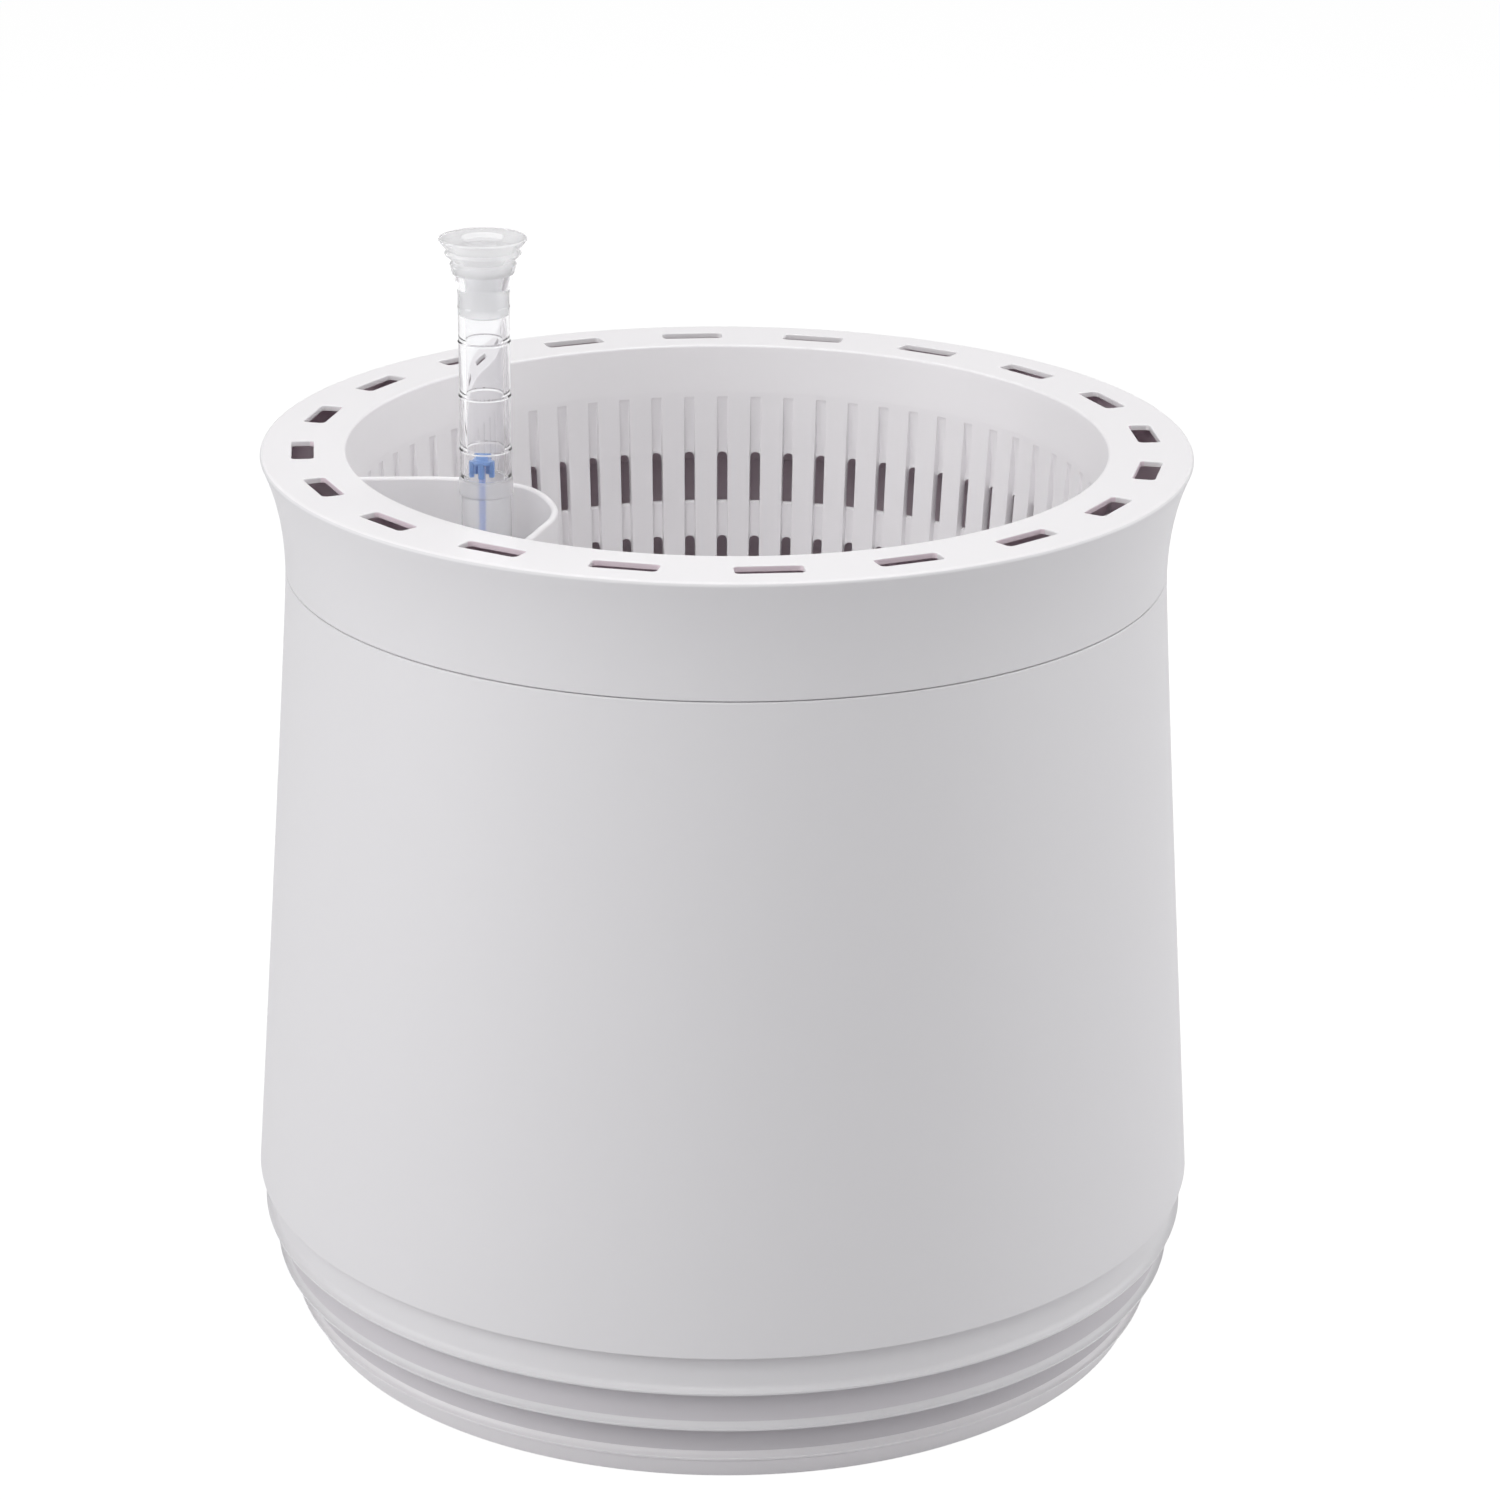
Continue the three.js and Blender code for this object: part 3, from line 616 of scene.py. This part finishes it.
def flange_loop(inner, outer):
    """The edge of one slot's share of the flange, point for point with slot_loop."""
    half = 180 / SLOT_COUNT
    loop = [polar(inner, -half + 2 * half * k / 16) for k in range(16)]
    loop += [polar(inner + (outer - inner) * k / 7, half) for k in range(7)]
    loop += [polar(outer, half - 2 * half * k / 16) for k in range(16)]
    loop += [polar(outer + (inner - outer) * k / 7, -half) for k in range(7)]
    return loop


def rim_collar():
    """Two turned skins, outside and inside, joined by 20 shares of the slotted flange."""
    edge = RIM - 1.2
    foot = SEAM + 0.3
    outside = bend((SEAM_RADIUS, foot), (SEAM_RADIUS + 0.1, RIM - 15.5), (RIM_EDGE, edge), 20)
    tongue_outside = SEAM_RADIUS - 2.9
    band = rib_face(BAND_FOOT)
    top_outer, top_inner = RIM_EDGE - 1.2, OPENING_EDGE + 1.5
    under_outer, under_inner = RIM_RADIUS - 3.9, OPENING_EDGE + 2
    outer_chain = [
        (under_outer, FLANGE_UNDERSIDE),
        *rounded(
            [
                (under_outer, FLANGE_UNDERSIDE, 0),
                (SEAM_RADIUS - 2.6, foot + 5, 4),
                (tongue_outside - 1.5, foot + 3, 1),
                (tongue_outside - 1.5, TONGUE_FOOT, 0.5),
                (tongue_outside, TONGUE_FOOT, 0.5),
                (tongue_outside, foot, 0.2),
                (*outside[0], 0.45),
                *plain(outside[1:]),
            ],
            closed=False,
        )[1:],
        *[polar(1.2, 15 * k, (RIM_EDGE - 1.2, edge)) for k in range(1, 7)],
    ]
    inner_chain = rounded(
        [
            (top_inner, RIM, 0),
            (OPENING_EDGE, RIM, 1.4),
            (band, BAND_FOOT, 0),
            (band + 2.4, BAND_FOOT, 0.5),
            (OPENING_EDGE + 1.2, FLANGE_UNDERSIDE, 0.3),
            (under_inner, FLANGE_UNDERSIDE, 0),
        ],
        closed=False,
    )
    half = 180 / SLOT_COUNT
    chains = (outer_chain, inner_chain)
    skins = [revolve(chain, RING_STEPS, turn=SLOT_TURN - half, closed=False) for chain in chains]
    soft = 0.4
    levels = [polar(soft, 90 + 30 * k, (soft, RIM - soft)) for k in range(4)]
    loops = [[(*p, RIM) for p in flange_loop(top_inner, top_outer)]]
    loops += [[(x + SLOT_RADIUS, y, z) for x, y in slot_loop(grow)] for grow, z in levels]
    loops += [[(x + SLOT_RADIUS, y, FLANGE_UNDERSIDE) for x, y in slot_loop(0)]]
    loops += [[(*p, FLANGE_UNDERSIDE) for p in flange_loop(under_inner, under_outer)]]
    return skins + ring_of(stack(loops), SLOT_COUNT, SLOT_TURN)


def rim_coat(place, facing):
    """1 in the air way (painted mauve shade), 2 on the collar's outside, which is finished like the
    shell below it.
    """
    if in_shaded_air_way(place, facing):
        return 1
    far_out = place.xy.length > (SEAM_RADIUS - 1) * MM
    return 2 if far_out and place.xy.dot(facing.xy) > 0 and facing.z < 0.7 else 0


piece(
    "flared_rim",
    rim_collar(),
    INSERT,
    "plant_insert",
    "insert_plastic",
    ["rim_collar"],
    linings=[AIR_WAY_SHADE, SHELL],
    lined=rim_coat,
)

# ---- Basket ----


def windowed_wall(
    count, turn, half, face, groove, back, levels, windows, edge=0.0, centre=(0, 0), widen=0.0
):
    """A round wall of equal bays. Each bay has a groove down its middle, as deep as groove(height),
    and windows of (sill, head) with round heads through the whole wall. Half is half their width,
    and widen is how much of it they gain towards the back. Face, groove and back are functions of
    the height. Levels are the heights of the rows of corners, each window's sill and the spring of
    its round head among them."""
    columns = 8
    bay = math.radians(180 / count)
    across = [-half * math.cos(math.pi * k / columns) for k in range(columns + 1)]

    def on_circle(radius, offset):
        return math.sqrt(radius * radius - offset * offset), offset

    def spread(offset, bay_half):
        return offset * (1 + widen * (1 - abs(offset) / bay_half))

    def section(height):
        radius, deep = face(height), groove(height)
        soft = min(edge, deep / 2)
        left = [
            (radius * math.cos(bay), -radius * math.sin(bay)),
            on_circle(radius, -(radius * math.sin(bay) + half + soft) / 2),
            on_circle(radius, -half - soft),
        ]
        quarter_round = soft * 0.293  # The middle of its arc: 1 - cos(45 degrees).
        left.append(on_circle(radius + quarter_round, -half - quarter_round))
        left.append(on_circle(radius + soft, -half))
        floor = [on_circle(radius + deep, t) for t in across]
        inner = left + floor + [(x, -y) for x, y in left[::-1]]
        bay_half = back(height) * math.sin(bay)
        widths = [-bay_half, *[spread(y, bay_half) for x, y in inner[1:-1]], bay_half]
        return inner, [on_circle(back(height), y) for y in widths]

    # A section runs over 5 corners of one rib, the groove's columns, and 5 corners of the next.
    first, last = 5, 5 + columns
    openings = [(sill, head - half) for sill, head in windows]
    sills, springs = map(set, zip(*openings))
    corners, faces, sections = [], [], []
    for height in levels:
        inner, outer = section(height)
        sections.append((len(corners), len(corners) + len(inner)))
        corners += [(x, y, height) for x, y in inner] + [(x, y, height) for x, y in outer]
    width = len(inner)
    for k, (low, high) in enumerate(zip(levels, levels[1:])):
        (a, c), (b, d) = sections[k], sections[k + 1]
        opened = any(sill <= low and high <= spring for sill, spring in openings)
        arched = low in springs
        for i in range(width - 1):
            if not (first <= i < last and (opened or arched)):
                faces.append((a + i, a + i + 1, b + i + 1, b + i))
                faces.append((c + i, d + i, d + i + 1, c + i + 1))
        if opened:
            for i in (first, last):
                faces.append((a + i, b + i, d + i, c + i))
        if low in sills:
            faces += [(a + i, a + i + 1, c + i + 1, c + i) for i in range(first, last)]
        if arched:
            base = len(corners)
            rise = [(t, low + math.sqrt(max(half * half - t * t, 0))) for t in across]
            corners += [(*on_circle(face(z) + groove(z), t), z) for t, z in rise]
            bay_half = back(low) * math.sin(bay)
            corners += [(*on_circle(back(z), spread(t, bay_half)), z) for t, z in rise]
            for j in range(columns):
                p, q, i = base + j, base + columns + 1 + j, first + j
                faces.append((p, p + 1, b + i + 1, b + i))
                faces.append((q, d + i, d + i + 1, q + 1))
                faces.append((p, q, q + 1, p + 1))
    for a, c in (sections[0], sections[-1]):
        faces += [(a + i, c + i, c + i + 1, a + i + 1) for i in range(width - 1)]
    return ring_of((corners, faces), count, turn, centre)


def plant_basket():
    """Grooves fade in under the band, and end just over the plain foot."""
    start = BAND_FOOT - 1.5
    deep = WINDOW_SILLS[1] + WINDOW_HEIGHT + 3.2
    foot = BASKET_FOOT + 4
    fade = 0.6

    def groove(height):
        if height >= start or height <= foot - fade:
            return 0.0
        ramp = min(1, (start - height) / (start - deep)) ** 0.6
        cut = SILL_EDGE if height in WINDOW_SILLS else 0
        return GROOVE_DEPTH * min(ramp, (height - foot + fade) / fade) + cut

    windows = [(sill, sill + WINDOW_HEIGHT) for sill in WINDOW_SILLS]
    marks = [FLOOR_TOP, foot - fade, foot, deep, deep + 3, deep + 7, start, BAND_FOOT + 0.1]
    marks += [start - 0.3, start - 1, start - 2.5, start - 5]
    for sill, head in windows:
        marks += [sill - SILL_EDGE, sill, sill + SILL_EDGE, head - WINDOW_HALF, head + 0.8]
    return windowed_wall(
        WINDOW_COUNT,
        WINDOW_TURN,
        WINDOW_HALF,
        rib_face,
        groove,
        lambda height: rib_face(height) + BASKET_THICKNESS,
        sorted(marks),
        windows,
        edge=0.35,
        widen=0.6,
    )


def basket_floor():
    """A floor with 12 drain slots, and holes for the root cup and the gauge."""
    outer = [polar(FLOOR_RADIUS, 360 * k / RING_STEPS) for k in range(RING_STEPS)]
    well_hole = [polar(WELL_MOUTH, 360 * k / 96) for k in range(96)]
    gauge_hole = [polar(GAUGE_HOLE, 360 * k / 48, GAUGE) for k in range(48)]
    near, far, half, corner = 44, 67.2, 2, 1.3
    slot = [(near, -half, corner), (far, -half, corner), (far, half, corner), (near, half, corner)]
    count, slots = 12, []
    for k in range(count):
        turn = Matrix.Rotation(math.radians(360 * k / count), 2)
        slots.append([tuple(turn @ Vector(p)) for p in rounded(slot)])
    return plate([outer, well_hole, gauge_hole, *slots], FLOOR_FOOT, FLOOR_TOP)


def root_well():
    """A cup with 8 tall slots, a solid base and a rim that rests on the basket's floor."""
    foot, top, thick = WELL_FOOT, WELL_TOP, 2
    base_radius, floor_radius = 31, 36
    lean = (floor_radius - base_radius) / (FLOOR_TOP - foot)

    def outside(height):
        return base_radius + lean * (height - foot)

    sill, head, half = foot + 5, foot + 35, 2
    wall = windowed_wall(
        8,
        0,
        half,
        lambda height: outside(height) - thick,
        lambda height: 0.0,
        outside,
        [foot + 1, sill, head - half, head + 1, top - 1],
        [(sill, head)],
    )
    floor_top = foot + thick
    base = [(0, foot, 0), (base_radius, foot, 1.5)]
    base += [(base_radius + 0.4, floor_top, 0.2), (0, floor_top, 0)]
    near, far, low = 34, 40, top - thick
    ledge = [(near, low, 0.2), (far, low, 0.5), (far, top, 0.9), (near, top, 0.6)]
    return [*wall, revolve(rounded(base, closed=False), 96), revolve(rounded(ledge), 128)]


# ---- Filling shaft ----


def shaft_plan():
    """Points along the shaft wall's middle line, on a smooth curve through its own key points. Its
    ends lie past the basket's wall, and are cut off there."""
    past_wall = OPENING_RADIUS + 6
    keys = [Vector(polar(past_wall, SHAFT_ENDS[0]))]
    keys += [Vector(GAUGE) + Vector(p) for p in SHAFT_ROUND_GAUGE]
    keys += [Vector(polar(past_wall, SHAFT_ENDS[1]))]
    steps, line = 40, []
    for i in range(len(keys) - 1):
        a, b = keys[i], keys[i + 1]
        before, after = keys[max(i - 1, 0)], keys[min(i + 2, len(keys) - 1)]
        pull_a, pull_b = (b - before) / 2, (after - a) / 2
        for k in range(steps):
            f = k / steps
            line.append(
                a * (2 * f**3 - 3 * f**2 + 1)
                + pull_a * (f**3 - 2 * f**2 + f)
                + b * (3 * f**2 - 2 * f**3)
                + pull_b * (f**3 - f**2)
            )
    return line + [keys[-1]]


def fill_shaft():
    """The wall leans with the basket it is moulded to. A full round stands on its top edge."""
    plan, stations = shaft_plan(), 72
    above_cad, into_wall = 1.0, 1.0
    foot, spring = FLOOR_TOP, SHAFT_TOP + above_cad - SHAFT_HALF
    levels = [(SHAFT_HALF, foot + (spring - foot) * k / 6) for k in range(7)]
    levels += [polar(SHAFT_HALF, 18 * k, (0, spring)) for k in range(1, 6)]
    loops = []
    for half, height in levels:
        inside = [p for p in plan if p.length < rib_face(height) + into_wall]
        steps = len(inside) - 1
        left, right = [], []
        for k in range(stations + 1):
            place = k / stations * steps
            i = min(int(place), steps - 1)
            point = inside[i].lerp(inside[i + 1], place - i)
            along = (inside[min(i + 2, steps)] - inside[max(i - 1, 0)]).normalized()
            side = Vector((-along.y, along.x)) * max(half, 1e-4)
            left.append((*(point + side), height))
            right.append((*(point - side), height))
        loops.append(left + right[::-1])
    corners, faces = stack(loops)
    count = len(loops[0])
    bottom = [(k, k + 1, count - 2 - k, count - 1 - k) for k in range(stations)]
    last = len(corners) - count
    top_faces = [tuple(last + v for v in face) for face in bottom]
    return corners, faces + bottom + top_faces


def gauge_clip():
    """An open ring on a short arm from the shaft's wall."""
    bore, outer, reach, arm_half = 7.45, 9.65, 16.9, 2.2
    # Angles about the ring: half its mouth, where the arm joins it, and where the arm ends.
    mouth, root, arm_end = 40, math.degrees(math.asin(arm_half / outer)), 7.5
    turn = 8
    outline = [polar(reach, -arm_end), polar(reach, arm_end)]
    outline += [polar(outer, root + (180 - mouth - root) * k / 20) for k in range(21)]
    outline += [polar(bore, 180 - mouth - (360 - 2 * mouth) * k / 40) for k in range(41)]
    outline += [polar(outer, 180 + mouth + (180 - mouth - root) * k / 20) for k in range(21)]
    angle = Matrix.Rotation(math.radians(turn), 2)
    flat = [tuple(angle @ Vector(p) + Vector(GAUGE)) for p in outline]
    return plate([flat], CLIP_FOOT, CLIP_TOP)


INSERT_BODY = (INSERT, "plant_insert", "insert_plastic")
piece("window_basket", plant_basket(), *INSERT_BODY, ["plant_basket"])
piece("slotted_floor", [basket_floor()], *INSERT_BODY, ["basket_floor"])
piece("root_cup", root_well(), *INSERT_BODY, ["root_well"])
piece("filling_shaft", [fill_shaft()], *INSERT_BODY, ["fill_shaft"])
piece("gauge_spring_clip", [gauge_clip()], *INSERT_BODY, ["gauge_clip"])

# ---- Level gauge ----


def turned(outline):
    """A rounded outline of (radius, height, round) turned about the gauge's axis."""
    return revolve(rounded(outline), 96, GAUGE)


def gauge_tube():
    """A tube with raised level lines, the topmost fainter, and a flared mouth."""
    shoulder = SOCKET_TOP + 0.3
    mouth = TUBE_TOP
    lines = []
    for height, rise in LEVEL_LINES:
        z = RIM + height
        lines += [
            (TUBE_RADIUS, z - 0.45, 0.3),
            (TUBE_RADIUS + rise, z, 0.25),
            (TUBE_RADIUS, z + 0.45, 0.3),
        ]
    return turned(
        [
            (TUBE_NECK, TUBE_FOOT, 0.3),
            (TUBE_NECK, shoulder, 0),
            (TUBE_RADIUS, shoulder, 0.25),
            *lines,
            (TUBE_RADIUS, mouth - 6.5, 3),
            (7.65, mouth - 4, 2),
            (8.05, mouth, 0.4),
            (6.4, mouth, 0.4),
            (BORE, mouth - 5, 3),
            (BORE, TUBE_FOOT, 0.3),
        ]
    )


def gauge_stopper():
    """A hollow plug under three tiers. A thin lip goes over the tube's mouth."""
    seat = TUBE_TOP + 0.3
    top = STOPPER_TOP
    return turned(
        [
            (BORE + 0.03, seat - 13, 0.3),
            (BORE + 0.03, seat - 5, 2),
            (6.1, seat, 0.4),
            (8.2, seat, 0),
            (8.2, seat - 0.9, 0.1),
            (8.45, seat - 0.9, 0.1),
            (9.2, top - 7.3, 0.3),
            (8.6, top - 6.3, 0.2),
            (10.6, top - 4.3, 0.3),
            (9.9, top - 3.3, 0.2),
            (12.2, top - 0.5, 0.35),
            (11.9, top, 0.3),
            (6.0, top, 0.8),
            (5.2, top - 1.2, 0.8),
            (1.0, top - 1.2, 0.3),
            (0, top - 0.9, 0),
            (0, top - 3.2, 0),
            (3.8, top - 3.6, 1.5),
            (3.8, seat - 13, 0.4),
        ]
    )


def gauge_stem():
    """A stem with a socket for the tube on top and four water slots near its foot."""
    joint = STEM_FOOT + 20
    shoulder = SOCKET_TOP - SOCKET_DEPTH
    upper = turned(
        [
            (STEM_RADIUS, joint, 0),
            (STEM_RADIUS, shoulder, 0.5),
            (SOCKET_RADIUS, shoulder + 0.3, 0.35),
            (SOCKET_RADIUS, SOCKET_TOP, 0.4),
            (SOCKET_BORE, SOCKET_TOP, 0.2),
            (SOCKET_BORE, shoulder, 0.2),
            (STEM_BORE, shoulder, 0.3),
            (STEM_BORE, joint, 0),
        ]
    )
    sill, head, half = FLOAT_FOOT, FLOAT_FOOT + 10, 2
    lower = windowed_wall(
        4,
        45,
        half,
        lambda height: STEM_BORE,
        lambda height: 0.0,
        lambda height: STEM_RADIUS,
        [STEM_FOOT, sill, head - half, head + 0.6, joint],
        [(sill, head)],
        centre=GAUGE,
    )
    return [upper, *lower]


def gauge_foot():
    """A plug with a flange that closes the stem's foot, and a hole for the water."""
    flange = PLUG_FOOT + 2.7
    return turned(
        [
            (STEM_RADIUS, PLUG_FOOT, 0.4),
            (STEM_RADIUS, flange, 0.3),
            (5.4, flange, 0.2),
            (5.4, PLUG_TOP, 0.4),
            (2, PLUG_TOP, 0.2),
            (2, PLUG_FOOT, 0.2),
        ]
    )


def indicator_head():
    """A cap with a round hub on it and five fingers that hang from its edge."""
    cap_top = HEAD_TOP - 1.4
    cap_profile = [
        (0, cap_top - 1.1, 0),
        (2.9, cap_top - 1.1, 0.3),
        (2.9, cap_top, 0.4),
        (1.8, cap_top, 0.3),
        (1.7, HEAD_TOP, 0.6),
        (0, HEAD_TOP, 0),
    ]
    skins = [revolve(rounded(cap_profile, closed=False), 40, INDICATOR, closed=False)]
    bar = rounded([(2.3, -0.8, 0.3), (3.6, -0.8, 0.5), (3.6, 0.8, 0.5), (2.3, 0.8, 0.3)])
    return skins + ring_of(plate([bar], HEAD_FOOT, cap_top - 0.05), 5, -90, INDICATOR)


def indicator_rod():
    """A thin solid rod with rounded ends."""
    edge = 0.3
    outline = [
        (0, ROD_FOOT, 0),
        (ROD_RADIUS, ROD_FOOT, edge),
        (ROD_RADIUS, ROD_TOP, edge),
        (0, ROD_TOP, 0),
    ]
    return revolve(rounded(outline, closed=False), 24, INDICATOR, closed=False)


piece("clear_tube", [gauge_tube()], CLEAR, "gauge", "clear_gauge", ["gauge_tube"])
piece("tiered_stopper", [gauge_stopper()], STOPPER, "gauge", "clear_gauge", ["gauge_stopper"])
piece("milky_stem", gauge_stem(), FROSTED, "gauge", "frosted_gauge", ["gauge_stem"])
piece("stem_foot", [gauge_foot()], FROSTED, "gauge", "frosted_gauge", ["gauge_foot"])
piece("level_crown", indicator_head(), BLUE, "indicator", "indicator_blue", ["indicator_head"])
piece("level_rod", [indicator_rod()], PALE_BLUE, "indicator", "indicator_blue", ["indicator_rod"])
float_skin = disc(FLOAT_RADIUS, FLOAT_FOOT, FLOAT_TOP, 1.0, INDICATOR)
piece("foam_float", [float_skin], FOAM, "indicator", "float_foam", ["indicator_float"])

# ---- Floor, light and camera ----

# The world's strength as light, and where it is seen.
WORLD_LIGHT, WORLD_SEEN = 0.02, 0.97
# The floor's glow where it is seen, and how much of it is mixed into the card's own white.
FLOOR_GLOW, FLOOR_GLOW_SHARE = 1.14, 0.85
# How far a reflection in a gloss counts as seeing.
GLOSS_SHARE = 0.45
# In metres, from the CAD's origin.
POT_MIDDLE = (0, 0, 0.13)


def times(tree, source, factor):
    """A source's value times a fixed factor."""
    made = node(tree, "ShaderNodeMath", [(0, source)], operation="MULTIPLY")
    made.inputs[1].default_value = factor
    return made.outputs[0]


def seen_ray(tree):
    """1 for rays from the camera or through a clear wall, and a share of it for glossy ones."""
    path = node(tree, "ShaderNodeLightPath")
    total = times(tree, path.outputs["Is Glossy Ray"], GLOSS_SHARE)
    for name in ("Is Camera Ray", "Is Transmission Ray"):
        links = [(0, total), (1, path.outputs[name])]
        total = node(tree, "ShaderNodeMath", links, operation="MAXIMUM").outputs[0]
    return total


def floor_finish():
    """White studio card: lights the foot from below and keeps a faint shadow under it."""
    material = bpy.data.materials.new("white_studio_card")
    tree = empty_tree(material)
    card = node(tree, "ShaderNodeBsdfDiffuse", Color=linear("#e0dfe1"))
    glow = node(tree, "ShaderNodeEmission", Color=linear("#ffffff"), Strength=FLOOR_GLOW)
    share = times(tree, seen_ray(tree), FLOOR_GLOW_SHARE)
    both = node(
        tree,
        "ShaderNodeMixShader",
        [("Fac", share), (1, card.outputs["BSDF"]), (2, glow.outputs["Emission"])],
    )
    node(tree, "ShaderNodeOutputMaterial", [("Surface", both.outputs["Shader"])])
    return material


def studio_world():
    """White seen directly, a softer grey-white as light on the object."""
    world = bpy.data.worlds.new("studio")
    tree = empty_tree(world)
    light = node(tree, "ShaderNodeBackground", Color=linear("#fdfdff"), Strength=WORLD_LIGHT)
    seen = node(tree, "ShaderNodeBackground", Color=linear("#ffffff"), Strength=WORLD_SEEN)
    both = node(
        tree,
        "ShaderNodeMixShader",
        [
            ("Fac", seen_ray(tree)),
            (1, light.outputs["Background"]),
            (2, seen.outputs["Background"]),
        ],
    )
    node(tree, "ShaderNodeOutputWorld", [("Surface", both.outputs["Shader"])])
    bpy.context.scene.world = world


def softbox(name, place, size, watts):
    """A white rectangular lamp at a place in metres, turned to the pot's middle."""
    lamp = bpy.data.lights.new(name, "AREA")
    lamp.shape = "RECTANGLE"
    lamp.size, lamp.size_y = size
    lamp.energy = watts
    box = add_object(name, lamp)
    box.location = place
    box.rotation_euler = (Vector(POT_MIDDLE) - Vector(place)).to_track_quat("-Z", "Y").to_euler()


def studio():
    """A 12 m floor, the world, and softboxes above, before and on both sides."""
    floor = bpy.data.meshes.new("studio_floor")
    corners = [(-6, -6, 0), (6, -6, 0), (6, 6, 0), (-6, 6, 0)]
    floor.from_pydata(corners, [], [(0, 1, 2, 3)])
    floor.materials.append(floor_finish())
    ground = add_object("studio_floor", floor)
    studio_world()
    softbox("overhead_box", (0.0, -0.6, 1.6), (1.4, 1.0), 6.6)
    softbox("back_box", (0.0, 0.7, 1.9), (1.6, 1.2), 15.0)
    softbox("front_box", (-0.4, -1.5, 1.35), (1.0, 1.0), 9.1)
    softbox("left_box", (-1.5, -0.5, 0.65), (0.9, 1.2), 9.4)
    softbox("left_back_box", (-1.5, 0.5, 0.7), (0.9, 1.2), 1.5)
    softbox("right_box", (1.5, -0.4, 0.6), (0.7, 1.2), 4.2)
    softbox("right_back_box", (1.5, 0.5, 0.7), (0.9, 1.2), 8.2)


def camera():
    """A long lens before the object, tilted down by 20 degrees and rolled by half a degree."""
    lens = bpy.data.cameras.new("studio_camera")
    lens.lens, lens.sensor_width = 102.1, 36.0
    lens.clip_start, lens.clip_end = 0.05, 50.0
    pitch, yaw, roll = map(math.radians, (20.048, 0.352, 0.456))
    level_part = math.cos(pitch)
    forward = Vector((math.sin(yaw) * level_part, math.cos(yaw) * level_part, -math.sin(pitch)))
    level = Vector((math.cos(yaw), -math.sin(yaw), 0))
    above = level.cross(forward)
    right = math.cos(roll) * level + math.sin(roll) * above
    up = math.cos(roll) * above - math.sin(roll) * level
    eye = add_object("studio_camera", lens)
    turned_to = Matrix((right, up, -forward)).transposed().to_4x4()
    eye.matrix_world = Matrix.Translation((0, -1.1833, RIM * MM + 0.3371)) @ turned_to
    bpy.context.scene.camera = eye


studio()
camera()
bpy.context.scene.view_settings.view_transform = "Standard"
